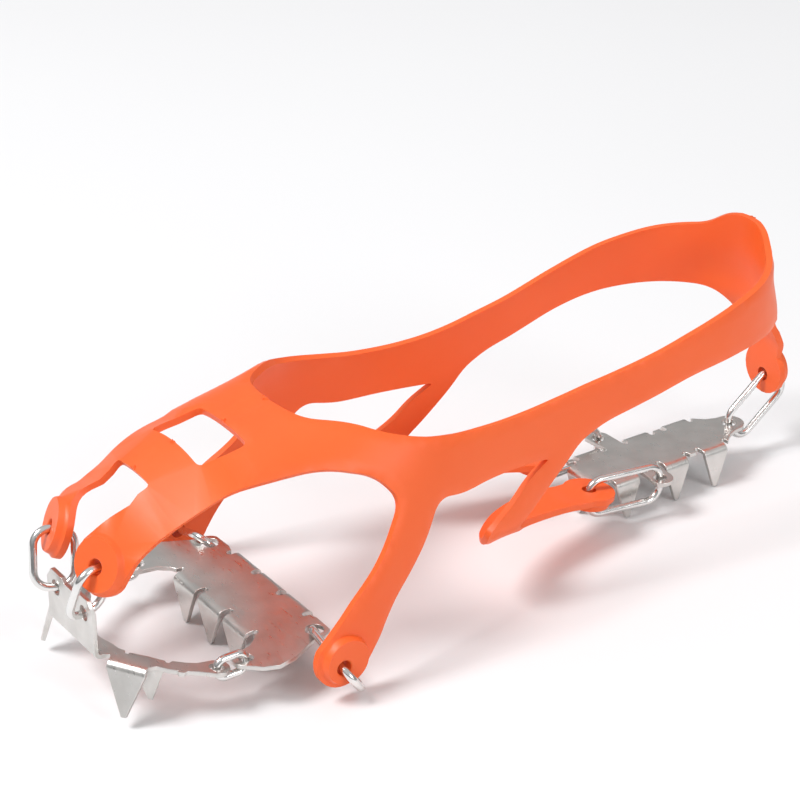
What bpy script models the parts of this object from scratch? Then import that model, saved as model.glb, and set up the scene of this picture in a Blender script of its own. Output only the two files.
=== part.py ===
"""Slip-on ice cleats as worn on a walking shoe: a moulded elastic harness that carries stamped steel
plates with bent-down teeth on oval wire rings. The shoe itself is not part of the object.

Lengths are in millimetres and are scaled to metres when a mesh is made. Shoe frame: x across (the
cleats are symmetric about x = 0), y along the foot with the heel at +y and the toe at -y, z up, z = 0
the bottom of the shoe's tread. SHIFT moves that frame so that the teeth stand on z = 0 and the origin
is below the middle of the object."""

import math

import bmesh
import bpy
import numpy as np
from mathutils import Vector
from mathutils.geometry import delaunay_2d_cdt

MM = 0.001
SHIFT = Vector((0.0, 143.9, 17.8))  # shoe frame to object frame

# The shoe that the harness is stretched over.
SOLE_OUTLINE = (  # right half in plan, heel back to toe
    (0, 1.5), (17, -4), (30, -17), (37, -38), (38.5, -65), (37, -95), (37, -125),
    (41, -155), (50, -190), (54, -220), (53.5, -245), (46, -269), (33, -286), (17, -297), (0, -300),
)
SPINE_FRONT, SPINE_BACK = -250.0, -36.0  # ends of the ridge line that the sections close on
TOP_HEIGHT = ((-262, 66), (-240, 69), (-215, 75), (-190, 86), (-160, 104), (-120, 136), (-60, 190), (0, 230))
SQUARENESS = ((-262, 2.3), (-230, 2.4), (-190, 2.3), (-120, 2.6), (-60, 3.6), (0, 3.6))
FEATHER_HEIGHT = (
    (-300, 8), (-285, 4), (-262, 1), (-230, 0), (-190, 1), (-150, 4), (-110, 0), (-87, -4), (0, -4),
)
ARCH = (-197.0, -172.0, -66.0, -46.0)  # the sole's edge turns under here, fully between the inner two
ARCH_CURL, ARCH_TUCK = 9.0, 7.0  # radius of that turn, and its height above the wall's foot

# Harness
STRAP = 3.2
BOSS = 5.8
BOSS_HOLE = 2.9
SHOULDER = 1.0
EDGE_ROUND = 0.7
# Bosses: pattern coordinates s and g, radius of the strap's end, of the raised disc, hole's offset in s and g
TOE_BOSS = (336.1, 31.1, 11.6, 10.8, 0.2, -1.0)
SIDE_BOSS = (252.0, -1.5, 11.4, 9.6, 1.9, -1.7)
WEB_BOSS = (109.5, -9.5, 10.4, 9.4, 0.0, 0.0)
HEEL_BOSS = (0.0, 23.6, 10.8, 9.8, 0.0, -2.6)
TOE_LIFT, HEEL_LIFT, BAND_LIFT, SIDE_LIFT, REST_LIFT = 5.0, 9.2, 2.8, 1.3, 0.3

# Wire
WIRE = 3.0
RING_WIDTH = 15.0  # between the wire's centre lines
RING_CORNER = 6.0
LINK_WIDTH = 7.6

# Steel
PLATE = 1.8
PLATE_TOP = -0.6
TOOTH_BASE, TOOTH_DROP = 15.0, 15.4
RING_HOLE = 3.0
BALL_LINK, BALL_RING = (39.5, -258.0), (37.4, -228.1)  # holes for the link and for the side ring
TOE_LINK = (39.5, -270.2)
TOE_PLATE_HOLE = (10.5, 20.0)  # x and z of the toe ring's hole
TOE_PLATE_Y, TOE_PLATE_TOP, TOE_PLATE_HALF = -305.0, 26.5, 17.0
HEEL_EAR, HEEL_TAIL = (20.0, -55.5), (0.0, -3.0)  # holes for the arch ring and for the rear ring


def curve_through(knots, where):
    """Smooth curve through rows (t, value...), evaluated at where."""
    rows = np.array(knots, float)
    t, values = rows[:, 0], rows[:, 1:]
    slope = np.gradient(values, t, axis=0)
    return hermite(t, values, slope, where)


def hermite(t, values, slope, where):
    where = np.asarray(where, float)
    i = np.clip(np.searchsorted(t, where, side="right") - 1, 0, len(t) - 2)
    h = (t[i + 1] - t[i])[..., None]
    w = np.clip((where - t[i])[..., None] / h, 0, 1)
    start = (2 * w**3 - 3 * w**2 + 1) * values[i] + (w**3 - 2 * w**2 + w) * h * slope[i]
    end = (3 * w**2 - 2 * w**3) * values[i + 1] + (w**3 - w**2) * h * slope[i + 1]
    return start + end


def run_length(points):
    steps = np.linalg.norm(np.diff(points, axis=0), axis=1)
    return np.concatenate([[0.0], np.cumsum(steps)])


def smoothstep(value, low, high):
    w = np.clip((np.asarray(value, float) - low) / (high - low), 0, 1)
    return w * w * (3 - 2 * w)


class Last:
    """The shoe's outer surface, right half. Pattern coordinates are s, the distance along the sole's
    outline from the middle of the heel, and g, the distance up the surface from the sole's edge."""

    STATION, STEP, LOW = 1.0, 0.5, -40.0

    def __init__(self):
        knots = np.array(SOLE_OUTLINE, float)
        t = run_length(knots)
        slope = np.gradient(knots, t, axis=0)
        slope[0], slope[-1] = (1, 0), (-1, 0)
        fine = hermite(t, knots, slope, np.linspace(0, t[-1], 1400))
        self.outline_s = run_length(fine)
        self.outline = fine
        self.length = self.outline_s[-1]
        self.stations = np.linspace(0, self.length, int(self.length / self.STATION) + 1)
        self.levels = np.arange(self.LOW, 240, self.STEP)
        self.table = np.empty((len(self.stations), len(self.levels), 3))
        self.girth = np.empty(len(self.stations))
        for i, s in enumerate(self.stations):
            points, g = self.section(s)
            self.girth[i] = g[-1]
            for axis in range(3):
                self.table[i, :, axis] = np.interp(self.levels, g, points[:, axis])

    def edge_point(self, s):
        return np.array([np.interp(s, self.outline_s, self.outline[:, k]) for k in (0, 1)])

    def section(self, s):
        """Points of one section, from under the sole or below its edge up to the ridge, and their g."""
        x, y = self.edge_point(s)
        spine = min(max(y, SPINE_FRONT), SPINE_BACK)
        top = curve_through(TOP_HEIGHT, spine)[0]
        power = 2 / curve_through(SQUARENESS, spine)[0]
        base = curve_through(FEATHER_HEIGHT, y)[0]
        angle = np.linspace(0, math.pi / 2, 260)
        across, up = np.cos(angle) ** power, np.sin(angle) ** power
        across[-1] = 0
        wall = np.stack([x * across, spine + (y - spine) * across, base + (top - base) * up], 1)
        share = smoothstep(y, *ARCH[:2]) * (1 - smoothstep(y, *ARCH[2:]))
        radius, foot = ARCH_CURL * share, base + ARCH_TUCK * share
        if radius < 0.2:
            below = np.array([[x, y, base + self.LOW]])
            points = np.concatenate([below, wall])
            return points, run_length(points) + self.LOW
        start = [np.interp(foot + radius, wall[:, 2], wall[:, k]) for k in range(3)]
        start_g = np.interp(foot + radius, wall[:, 2], run_length(wall))
        wall = np.concatenate([[start], wall[wall[:, 2] > foot + radius + 0.01]])
        turn = np.linspace(math.pi / 2, 0, 24)[:-1]
        centre = np.array([start[0] - radius, start[1], start[2]])
        ones = np.ones_like(turn)
        curl = np.stack([radius * np.cos(turn), 0 * ones, -radius * np.sin(turn)], 1) + centre
        inward = centre + [[-45, 0, -radius]]
        points = np.concatenate([inward, curl, wall])
        g = run_length(points)
        return points, g - g[1 + len(curl)] + start_g

    def point(self, s, g):
        s, g = np.broadcast_arrays(np.asarray(s, float), np.asarray(g, float))
        row = np.clip(s, 0, self.length) / (self.length / (len(self.stations) - 1))
        i = np.clip(row.astype(int), 0, len(self.stations) - 2)
        column = np.clip((g - self.LOW) / self.STEP, 0, len(self.levels) - 1.001)
        j = column.astype(int)
        u, v = (row - i)[..., None], (column - j)[..., None]
        near = self.table[i, j] * (1 - v) + self.table[i, j + 1] * v
        far = self.table[i + 1, j] * (1 - v) + self.table[i + 1, j + 1] * v
        return near * (1 - u) + far * u

    def top_girth(self, s):
        return np.interp(s, self.stations, self.girth)

    def pattern_of(self, x, y):
        """Pattern coordinates of the point of the upper face above plan position x, y."""
        if y >= SPINE_FRONT:
            s = np.interp(-y, -self.outline[:, 1], self.outline_s)
            whole = np.interp(s, self.outline_s, self.outline[:, 0])
            share = x / whole
        else:
            bearing = np.arctan2(self.outline[:, 0], SPINE_FRONT - self.outline[:, 1])
            front = self.outline[:, 1] < SPINE_FRONT
            s = np.interp(-math.atan2(x, SPINE_FRONT - y), -bearing[front], self.outline_s[front])
            edge = self.edge_point(s)
            share = math.hypot(x, y - SPINE_FRONT) / math.hypot(edge[0], edge[1] - SPINE_FRONT)
        points, g = self.section(s)
        spine = min(max(self.edge_point(s)[1], SPINE_FRONT), SPINE_BACK)
        reach = np.hypot(points[:, 0], points[:, 1] - spine)
        upper = points[:, 2] > 20
        return s, np.interp(-share * reach.max(), -reach[upper], g[upper])


LAST = Last()


def lift(s, g):
    """How far the harness stands off the shoe."""
    toe = TOE_LIFT * smoothstep(s, 300, 318) * (1 - smoothstep(g, 33, 53))
    heel = HEEL_LIFT * (1 - smoothstep(s, 12, 30)) * (1 - smoothstep(g, 34, 60))
    heel = heel + BAND_LIFT * (1 - smoothstep(s, 14, 44)) * (1 - smoothstep(g, 60, 80))
    side = SIDE_LIFT * smoothstep(s, 225, 240) * (1 - smoothstep(s, 270, 290)) * (1 - smoothstep(g, 10, 40))
    return REST_LIFT + toe + heel + side


def outward(surface, s, g, step=1.2):
    """Unit normal of a surface given as a function of s and g, pointing away from the foot."""
    s = np.clip(s, 0, LAST.length)
    along = surface(np.minimum(s + step, LAST.length), g) - surface(np.maximum(s - step, 0), g)
    up = surface(s, g + step) - surface(s, g - step)
    normal = np.cross(up, along)
    normal[np.abs(surface(s, g)[..., 0]) < 0.3, 0] = 0
    return normal / np.linalg.norm(normal, axis=-1, keepdims=True)


def carrier(s, g):
    """The inner face of the harness."""
    return LAST.point(s, g) + outward(LAST.point, s, g) * lift(s, g)[..., None]


def frame_at(s, g):
    """Origin on the carrier, the directions of growing s and g, and the outward normal."""
    s, g = np.array([float(s)]), np.array([float(g)])
    origin, normal = carrier(s, g)[0], outward(carrier, s, g)[0]
    up = (carrier(s, g + 1) - carrier(s, g - 1))[0]
    up -= normal * (up @ normal)
    up /= np.linalg.norm(up)
    return origin, np.cross(normal, up), up, normal


# --- The harness's outline in pattern coordinates, right half, counter-clockwise from the heel ---

HEEL_LEG_HALF = 8.0


def on_top(x, y, trim=0.0):
    """Outline corner on the upper face, given in plan."""
    s, g = LAST.pattern_of(x, y)
    return s, g, trim


def boss_arc(boss, start, end, count=14):
    """Outline round a boss, from angle start to angle end in degrees."""
    angles = np.radians(np.linspace(start, end, count))
    return [(boss[0] + boss[2] * math.cos(a), boss[1] + boss[2] * math.sin(a), 0.0) for a in angles]


def harness_corners():
    """Corners (s, g, trim); trim is how far from the corner its rounding starts."""
    leg_angle = math.degrees(math.acos(HEEL_LEG_HALF / HEEL_BOSS[2]))
    corners = boss_arc(HEEL_BOSS, -90, leg_angle, 10)
    corners += [
        (HEEL_LEG_HALF, 50, 5), (16, 57.5, 7), (38, 60, 12), (62, 61.5, 12), (82, 60, 10),
        (102, 54, 10), (119.7, 47.6, 6), (131.5, 40.4, 5), (137.5, 33, 6), (152.7, 17.8, 8), (160.3, 11.6, 2),
        (152.5, 6, 6), (136, 3, 8), (121, 1.2, 5),
    ]
    corners += boss_arc(WEB_BOSS, 68, 312, 18)
    corners += [(126, -15.5, 6), (145, -11.5, 8), (162, -5.5, 8), (174.5, 3, 5), (177.5, 13.2, 2.2),
                (172.5, 16.4, 4), (164, 21.5, 6), (156.2, 29.2, 5), (146, 35.7, 2)]
    corners += [(173, 35.5, 10), (189, 36, 6), (203, 40.5, 6), (211, 28.5, 7), (218.5, 20.9, 8),
                (230.8, 9.9, 6)]
    corners += boss_arc(SIDE_BOSS, 203, 388, 18)
    corners += [(253.5, 12, 4), (247.5, 17.2, 6), (231, 29.5, 8), (219, 46, 6), (227, 57.5, 6),
                (245, 66.5, 9), (268, 67.5, 12), (288, 63.5, 10), (309, 52.5, 10), (321, 40.5, 6)]
    corners += boss_arc(TOE_BOSS, 211, 391, 18)
    corners += [on_top(9.5, -287, 4), on_top(11.5, -277.4, 2), on_top(6, -277.4)]
    return corners


def seam_corners():
    """The pieces between the seams: bar, window and the upper edge of the band down to the heel."""
    window = [on_top(8, -260.5), on_top(16.5, -260.5, 2.5), on_top(16.5, -240.5, 2.5), on_top(8, -240.5)]
    upper = [on_top(8, -221.5, 4), on_top(18, -218.5, 6)]
    upper += [(227, 77, 6), (219, 70.5, 5), (209, 65.5, 5), (198, 61, 6), (185, 57, 6), (170, 55, 8),
              (154, 56, 8), (138, 59.5, 8), (122, 64.5, 9), (104, 70.5, 9), (84, 76.5, 9), (64, 81, 9),
              (40, 84, 9), (20, 86, 4), (11, 92, 3), (5, 93.4, 0)]
    return window, upper


def rounded(corners, spacing):
    """Points along a chain of corners with each corner rounded to a parabola of its trim length."""
    rows = [np.array(c, float) for c in corners]
    points = []
    for i, row in enumerate(rows):
        here, trim = row[:2], row[2]
        if trim <= 0 or i in (0, len(rows) - 1):
            points.append(here)
            continue
        before, after = rows[i - 1][:2] - here, rows[i + 1][:2] - here
        cut_a = min(trim, 0.5 * np.linalg.norm(before))
        cut_b = min(trim, 0.5 * np.linalg.norm(after))
        start = here + before / np.linalg.norm(before) * cut_a
        end = here + after / np.linalg.norm(after) * cut_b
        steps = max(2, int((cut_a + cut_b) / spacing) + 1)
        for w in np.linspace(0, 1, steps + 1):
            points.append((1 - w) ** 2 * start + 2 * w * (1 - w) * here + w * w * end)
    return spaced(points, spacing)


def spaced(points, spacing):
    """The chain with long runs split, and with points nearer than a third of the spacing dropped."""
    kept = [points[0]]
    for point in points[1:]:
        gap = np.linalg.norm(point - kept[-1])
        if gap < spacing / 3:
            continue
        pieces = max(1, round(gap / spacing))
        base = kept[-1]
        kept += [base + (point - base) * k / pieces for k in range(1, pieces + 1)]
    kept[-1] = points[-1]
    return kept


def harness_outline(spacing):
    """Closed outline as rows (s, g, seam), seam being 1 where the edge lies on the plane x = 0."""
    window, upper = seam_corners()
    end = LAST.length
    lower = rounded(harness_corners() + [on_top(0, -277.4)], spacing)
    bar = [np.array([end, g]) for g in np.linspace(lower[-1][1], on_top(0, -260.5)[1], int(18 / spacing) + 1)]
    rim = rounded([(end, bar[-1][1], 0)] + window + [on_top(0, -240.5)], spacing)
    ridge_s = np.linspace(rim[-1][0], on_top(0, -222)[0], int(18 / spacing) + 1)
    ridge = [np.array([s, LAST.top_girth(s)]) for s in ridge_s]
    edge = rounded([(*ridge[-1], 0)] + upper + [(0, 93.5, 0)], spacing)
    back_g = np.linspace(edge[-1][1], HEEL_BOSS[1] - HEEL_BOSS[2], int(79 / spacing) + 1)
    back = [np.array([0, g]) for g in back_g]
    rows = []
    for chain, seam in ((lower, 0), (bar, 1), (rim, 0), (ridge, 1), (edge, 0), (back, 1)):
        rows += [(p[0], p[1], seam) for p in chain[:-1]]
    return np.array(rows)


# --- The flat layout that the harness is triangulated in: near enough true to length ---

RIDGE_S = 244.0


def flat_of(rows):
    s, g = rows[:, 0], rows[:, 1]
    whole = LAST.top_girth(np.maximum(s, RIDGE_S))
    edge = np.stack([np.interp(s, LAST.outline_s, LAST.outline[:, k]) for k in (0, 1)], 1)
    bearing = np.where(s > LAST.pole_s, np.arctan2(edge[:, 0], SPINE_FRONT - edge[:, 1]), math.pi / 2)
    reach = whole - g
    v = np.where(s > LAST.pole_s, SPINE_FRONT - reach * np.cos(bearing), SPINE_FRONT + LAST.pole_s - s)
    return np.stack([reach * np.sin(bearing), v], 1)


def pattern_from(flat):
    u, v = flat[:, 0], flat[:, 1]
    front = LAST.outline_s > LAST.pole_s
    bearing = np.arctan2(LAST.outline[front, 0], SPINE_FRONT - LAST.outline[front, 1])
    order = np.argsort(bearing)
    fan = np.interp(np.arctan2(u, SPINE_FRONT - v), bearing[order], LAST.outline_s[front][order])
    s = np.where(v < SPINE_FRONT, fan, SPINE_FRONT + LAST.pole_s - v)
    reach = np.where(v < SPINE_FRONT, np.hypot(u, SPINE_FRONT - v), u)
    return s, LAST.top_girth(np.maximum(s, RIDGE_S)) - reach


LAST.pole_s = float(np.interp(-SPINE_FRONT, -LAST.outline[:, 1], LAST.outline_s))


def inside(polygon, points):
    x, y = points[:, 0], points[:, 1]
    odd = np.zeros(len(points), bool)
    for (x0, y0), (x1, y1) in zip(polygon, np.roll(polygon, -1, axis=0)):
        if y0 != y1:
            odd ^= ((y0 > y) != (y1 > y)) & (x < (x1 - x0) * (y - y0) / (y1 - y0) + x0)
    return odd


def distance_to(polygon, points):
    best = np.full(len(points), 1e9)
    for a, b in zip(polygon, np.roll(polygon, -1, axis=0)):
        side = b - a
        w = np.clip((points - a) @ side / max(side @ side, 1e-12), 0, 1)
        best = np.minimum(best, np.linalg.norm(points - a - w[:, None] * side, axis=1))
    return best


def inset(polygon, seam, by):
    """Each vertex moved inwards; one end of a seam edge slides along the seam."""
    ahead = np.roll(polygon, -1, axis=0) - polygon
    ahead /= np.linalg.norm(ahead, axis=1, keepdims=True)
    behind, seam_behind = np.roll(ahead, 1, axis=0), np.roll(seam, 1)
    moved = polygon.copy()
    for i in range(len(polygon)):
        n0, n1 = np.array([-behind[i, 1], behind[i, 0]]), np.array([-ahead[i, 1], ahead[i, 0]])
        if seam[i] and seam_behind[i]:
            continue
        if seam[i] or seam_behind[i]:
            slide, normal = (ahead[i], n0) if seam[i] else (-behind[i], n1)
            moved[i] += slide * by / max(abs(slide @ normal), 0.4)
        else:
            middle = n0 + n1
            moved[i] += middle * by / max(middle @ middle / 2, 0.7)
    return moved


BOSSES = (TOE_BOSS, SIDE_BOSS, WEB_BOSS, HEEL_BOSS)
EDGE_STEPS = ((0.0, 1.0), (0.25, 0.35), (0.8, 0.0))  # inset from the edge, share of EDGE_ROUND left out


def nearest_boss(s, g):
    away = np.array([np.hypot(s - b[0], g - b[1]) for b in BOSSES])
    return away.argmin(axis=0), away.min(axis=0)


def harness_surface(s, g):
    """Inner-face points, outward normals and thickness, with the bosses made flat."""
    points, normals = carrier(s, g), outward(carrier, s, g)
    which, away = nearest_boss(s, g)
    for k, boss in enumerate(BOSSES):
        origin, along, up, normal = frame_at(*boss[:2])
        plane = origin + np.outer(s - boss[0], along) + np.outer(g - boss[1], up)
        share = ((which == k) * (1 - smoothstep(away, boss[2], boss[2] + 9)))[:, None]
        points = points * (1 - share) + plane * share
        normals = normals * (1 - share) + normal * share
    normals /= np.linalg.norm(normals, axis=1, keepdims=True)
    disc = np.array([boss[3] for boss in BOSSES])[which]
    raised = 1 - smoothstep(away, disc - SHOULDER, disc)
    return points, normals, STRAP + (BOSS - STRAP) * raised


def edge_rings(polygon, seam, steps):
    """The outline and the rings inside it: points, their share of the edge rounding, and edges."""
    total = len(polygon)
    free = [i for i in range(total) if not (seam[i] and seam[i - 1])]
    points, share = list(polygon), [steps[0][1]] * total
    edges = [(i, (i + 1) % total) for i in range(total)]
    for by, left in steps[1:]:
        ring = inset(polygon, seam, by)
        number = {i: len(points) + k for k, i in enumerate(free)}
        points += [ring[i] for i in free]
        share += [left] * len(free)
        edges += [(number[i], number[(i + 1) % total]) for i in free
                  if not seam[i] and (i + 1) % total in number]
    return points, share, edges, ring


def boss_loops(points, share, edges):
    """Adds the circles of every boss and returns the outlines of the holes."""
    holes = []
    for boss in BOSSES:
        half = boss[0] == 0
        for radius, left, count, along, up in boss_rings(boss):
            turns = np.linspace(-math.pi / 2, math.pi / 2, count // 2 + 1) if half else \
                np.linspace(0, 2 * math.pi, count + 1)[:-1]
            around = np.stack([np.cos(turns), np.sin(turns)], 1) * radius
            loop = flat_of(around + [boss[0] + along, boss[1] + up])
            if half:
                loop[[0, -1], 1] = SPINE_FRONT + LAST.pole_s
            first = len(points)
            points += list(loop)
            share += [left] * len(loop)
            edges += [(first + i, first + (i + 1) % len(loop)) for i in range(len(loop) - (1 if half else 0))]
            if radius == BOSS_HOLE:
                holes.append(loop)
    return holes


def grid_points(polygon, innermost, known, grid):
    """Staggered grid inside the outline, clear of the points that are already there."""
    spots = np.stack(np.meshgrid(np.arange(0.45, 260) * grid, np.arange(-60, 60) * grid), -1).reshape(-1, 2)
    spots[:, 1] += -100 + 0.5 * grid * (np.round(spots[:, 0] / grid - 0.45) % 2)
    spots = spots[inside(polygon, spots)]
    spots = spots[distance_to(innermost, spots) > 0.55 * grid]
    gap = np.array([np.linalg.norm(known - p, axis=1).min() for p in spots])
    which, away = nearest_boss(*pattern_from(spots))
    disc = np.array([boss[3] for boss in BOSSES])[which]
    return spots[(gap > 0.55 * grid) & (away > disc + 0.5)]


def harness_layout(spacing, grid, steps):
    """Flat points, with how deep each lies in the edge rounding, and the triangles over them."""
    outline = harness_outline(spacing)
    polygon, seam = flat_of(outline), outline[:, 2] > 0
    points, share, edges, innermost = edge_rings(polygon, seam, steps)
    hole_loops = boss_loops(points, share, edges)
    spots = grid_points(polygon, innermost, np.array(points), grid)
    points += list(spots)
    share += [0.0] * len(spots)
    verts, _, faces, origin, _, _ = delaunay_2d_cdt([Vector(p) for p in points], edges, [], 0, 1e-5)
    flat = np.array([tuple(v) for v in verts])
    depth = np.array([max(share[k] for k in origins) if origins else 0.0 for origins in origin])
    corners = np.array([tuple(face) for face in faces])
    middle = flat[corners].mean(axis=1)
    keep = inside(polygon, middle)
    for loop in hole_loops:
        keep &= ~inside(loop, middle)
    return flat, depth, corners[keep]


def boss_rings(boss):
    """Circles (radius, share of edge rounding, sides, offset in s and g) in a boss."""
    hole = boss[4:]
    return ((BOSS_HOLE, 0.5, 14, *hole), (BOSS_HOLE + 0.5, 0.0, 14, *hole),
            (boss[3] - SHOULDER, 0.0, 24, 0.0, 0.0), (boss[3], 0.0, 24, 0.0, 0.0))


def harness_mesh(spacing, grid, steps=EDGE_STEPS):
    """Vertices and faces of the whole harness in the shoe frame, in millimetres."""
    flat, depth, faces = harness_layout(spacing, grid, steps)
    s, g = pattern_from(flat)
    base, normal, height = harness_surface(s, g)
    top = base + normal * (height - EDGE_ROUND * depth)[:, None]
    on_seam = (np.abs(flat[:, 0]) < 1e-3) | (np.abs(flat[:, 1] - SPINE_FRONT - LAST.pole_s) < 1e-3)
    base[on_seam, 0] = 0
    top[on_seam, 0] = 0
    count = len(flat)
    up = np.cross(top[faces[:, 1]] - top[faces[:, 0]], top[faces[:, 2]] - top[faces[:, 0]])
    turned = (up * normal[faces].sum(axis=1)).sum(axis=1).sum() < 0
    faces = faces[:, ::-1] if turned else faces
    sides = {}
    for face in faces:
        for a, b in ((face[0], face[1]), (face[1], face[2]), (face[2], face[0])):
            sides[(a, b)] = True
    walls = [(a, b) for a, b in sides if (b, a) not in sides and not (on_seam[a] and on_seam[b])]
    polygons = [tuple(f) for f in faces] + [tuple(f[::-1] + count) for f in faces]
    polygons += [(b, a, a + count, b + count) for a, b in walls]
    half = np.concatenate([top, base])
    whole = np.concatenate([half, half * [-1, 1, 1]])
    polygons += [tuple(k + 2 * count for k in reversed(p)) for p in polygons]
    return whole, polygons


def new_object(name, vertices, faces, material, pivot=(0, 0, 0), weld=0.01):
    """Object from shoe-frame millimetres, its origin at pivot."""
    mesh = bpy.data.meshes.new(name)
    centre = Vector(pivot)
    mesh.from_pydata([(Vector(v) - centre) * MM for v in vertices], [], [list(map(int, f)) for f in faces])
    work = bmesh.new()
    work.from_mesh(mesh)
    bmesh.ops.remove_doubles(work, verts=work.verts, dist=weld * MM)
    bmesh.ops.dissolve_degenerate(work, dist=1e-7, edges=work.edges)
    loose = [v for v in work.verts if not v.link_faces]
    bmesh.ops.delete(work, geom=loose, context="VERTS")
    bmesh.ops.recalc_face_normals(work, faces=work.faces)
    work.to_mesh(mesh)
    work.free()
    mesh.materials.append(material)
    for face in mesh.polygons:
        face.use_smooth = True
    thing = bpy.data.objects.new(name, mesh)
    thing.location = (centre + SHIFT) * MM
    bpy.context.scene.collection.objects.link(thing)
    return thing


def principled(name, colour, rough, metal):
    material = bpy.data.materials.new(name)
    material.use_nodes = True
    shader = material.node_tree.nodes["Principled BSDF"]
    shader.inputs["Base Color"].default_value = (*colour, 1)
    shader.inputs["Roughness"].default_value = rough
    shader.inputs["Metallic"].default_value = metal
    return material


# --- Wire ---

def unit(vector):
    vector = np.array(vector, float)
    return vector / np.linalg.norm(vector)


def oval_path(length, width, corner, turn=4):
    """Closed rounded rectangle, centred, first coordinate along its length."""
    path = []
    for cx, cy, start in ((1, 1, 0), (-1, 1, 90), (-1, -1, 180), (1, -1, 270)):
        for k in range(turn + 1):
            a = math.radians(start + 90 * k / turn)
            path.append((cx * (length / 2 - corner) + corner * math.cos(a),
                         cy * (width / 2 - corner) + corner * math.sin(a)))
    return np.array(path)


def wire_ring(name, centre, along, across, size, pivot, material, sides=8, turn=4):
    """Closed wire oval: along and across are its axes, size is (length, width, corner) of the centre line."""
    along = unit(along)
    across = unit(np.array(across, float) - along * (np.array(across, float) @ along))
    path = oval_path(*size, turn)
    flat = np.array(centre, float) + path[:, :1] * along + path[:, 1:] * across
    heading = np.roll(path, -1, axis=0) - np.roll(path, 1, axis=0)
    heading /= np.linalg.norm(heading, axis=1, keepdims=True)
    out = heading[:, 1:] * along - heading[:, :1] * across
    third = np.cross(along, across)
    vertices, faces, count = [], [], len(path)
    for k in range(sides):
        a = 2 * math.pi * (k + 0.5) / sides
        vertices += list(flat + WIRE / 2 * (math.cos(a) * out + math.sin(a) * third))
    for k in range(sides):
        for i in range(count):
            j, m = (i + 1) % count, (k + 1) % sides
            faces.append((k * count + i, k * count + j, m * count + j, m * count + i))
    return new_object(name, vertices, faces, material, pivot)


def boss_hole(boss, side=1):
    """Middle of a boss's hole and the boss's outward normal, on the side asked for."""
    origin, along, up, normal = frame_at(*boss[:2])
    mirror = np.array([side, 1, 1])
    return (origin + along * boss[4] + up * boss[5] + normal * BOSS / 2) * mirror, normal * mirror


# --- Steel: a folded sheet's middle surface, thickened ---

def notch(a, b, depth, turn=4):
    """Relief cut between boundary points a and b, a half round at its bottom."""
    a, b = np.array(a, float), np.array(b, float)
    across = b - a
    radius = np.linalg.norm(across) / 2
    inward = np.array([-across[1], across[0]]) / (2 * radius)
    floor = (a + b) / 2 + inward * max(depth - radius, 0.1)
    return [a] + [floor + radius * (-math.cos(t) * across / (2 * radius) + math.sin(t) * inward)
                  for t in np.linspace(0, math.pi, turn + 1)] + [b]


def circle(x, y, radius, sides=12):
    return [(x + radius * math.cos(2 * math.pi * k / sides), y + radius * math.sin(2 * math.pi * k / sides))
            for k in range(sides)]


class Sheet:
    """Middle surface of a folded plate. height gives z over the flat plan."""

    BEND = 2.0

    def __init__(self, height=lambda x, y: PLATE_TOP - PLATE / 2):
        self.height = height
        self.vertices, self.faces = [], []

    def lay(self, boundary, holes=(), place=None):
        """A flat panel with holes; place maps plan coordinates to space."""
        place = place or (lambda x, y: (x, y, self.height(x, y)))
        points, edges = [], []
        for loop in (boundary, *holes):
            first = len(points)
            points += [tuple(map(float, p)) for p in loop]
            edges += [(first + i, first + (i + 1) % len(loop)) for i in range(len(loop))]
        verts, _, faces, _, _, _ = delaunay_2d_cdt([Vector(p) for p in points], edges, [], 0, 1e-6)
        flat = np.array([tuple(v) for v in verts])
        start = len(self.vertices)
        self.vertices += [place(x, y) for x, y in flat]
        for face in faces:
            middle = flat[list(face)].mean(axis=0)[None]
            if inside(np.array(boundary, float), middle)[0] and \
                    not any(inside(np.array(h), middle)[0] for h in holes):
                self.faces.append(tuple(start + k for k in face))

    def strips(self, rows):
        start, width = len(self.vertices), len(rows[0])
        for row in rows:
            self.vertices += [tuple(p) for p in row]
        for i in range(len(rows) - 1):
            for j in range(width - 1):
                a = start + i * width + j
                self.faces.append((a, a + 1, a + width + 1, a + width))

    def tooth(self, a, b, tip, turn=3, centred=False):
        """Bent-down tooth on the boundary edge a-b (the panel on its left), ending at the given point.
        A centred one straddles x = 0 and only its right half is added."""
        middle = ((a[0] + b[0]) / 2, (a[1] + b[1]) / 2)
        a3, m3, b3 = (np.array([*p, self.height(*p)]) for p in (a, middle, b))
        out = np.array([b3[1] - a3[1], a3[0] - b3[0], 0]) / np.linalg.norm((b3 - a3)[:2])
        rows = []
        for k in range(turn + 1):
            t = math.pi / 2 * k / turn
            shift = out * self.BEND * math.sin(t) + np.array([0, 0, -self.BEND * (1 - math.cos(t))])
            rows.append([a3 + shift, m3 + shift, b3 + shift])
        tip, side = np.array(tip, float), (b3 - a3) / np.linalg.norm(b3 - a3)
        base = rows[-1]
        flat_tip = [tip - side * 0.9, tip, tip + side * 0.9]
        for w in (0.15, 0.5, 1.0):
            rows.append([p * (1 - w) + q * w for p, q in zip(base, flat_tip)])
        if centred:
            rows = [[p for p in row if p[0] > -1e-6] for row in rows]
        self.strips(rows)

    def mirrored(self):
        """Adds the other half across x = 0."""
        count = len(self.vertices)
        self.vertices += [(-v[0], v[1], v[2]) for v in self.vertices]
        self.faces += [tuple(count + k for k in reversed(f)) for f in self.faces]

    def finish(self, name, material, pivot):
        thing = new_object(name, self.vertices, self.faces, material, pivot, weld=0.02)
        thick = thing.modifiers.new("thickness", "SOLIDIFY")
        thick.thickness, thick.offset, thick.use_even_offset = PLATE * MM, 0.0, True
        for face in thing.data.polygons:
            face.use_smooth = False
        return thing


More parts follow.
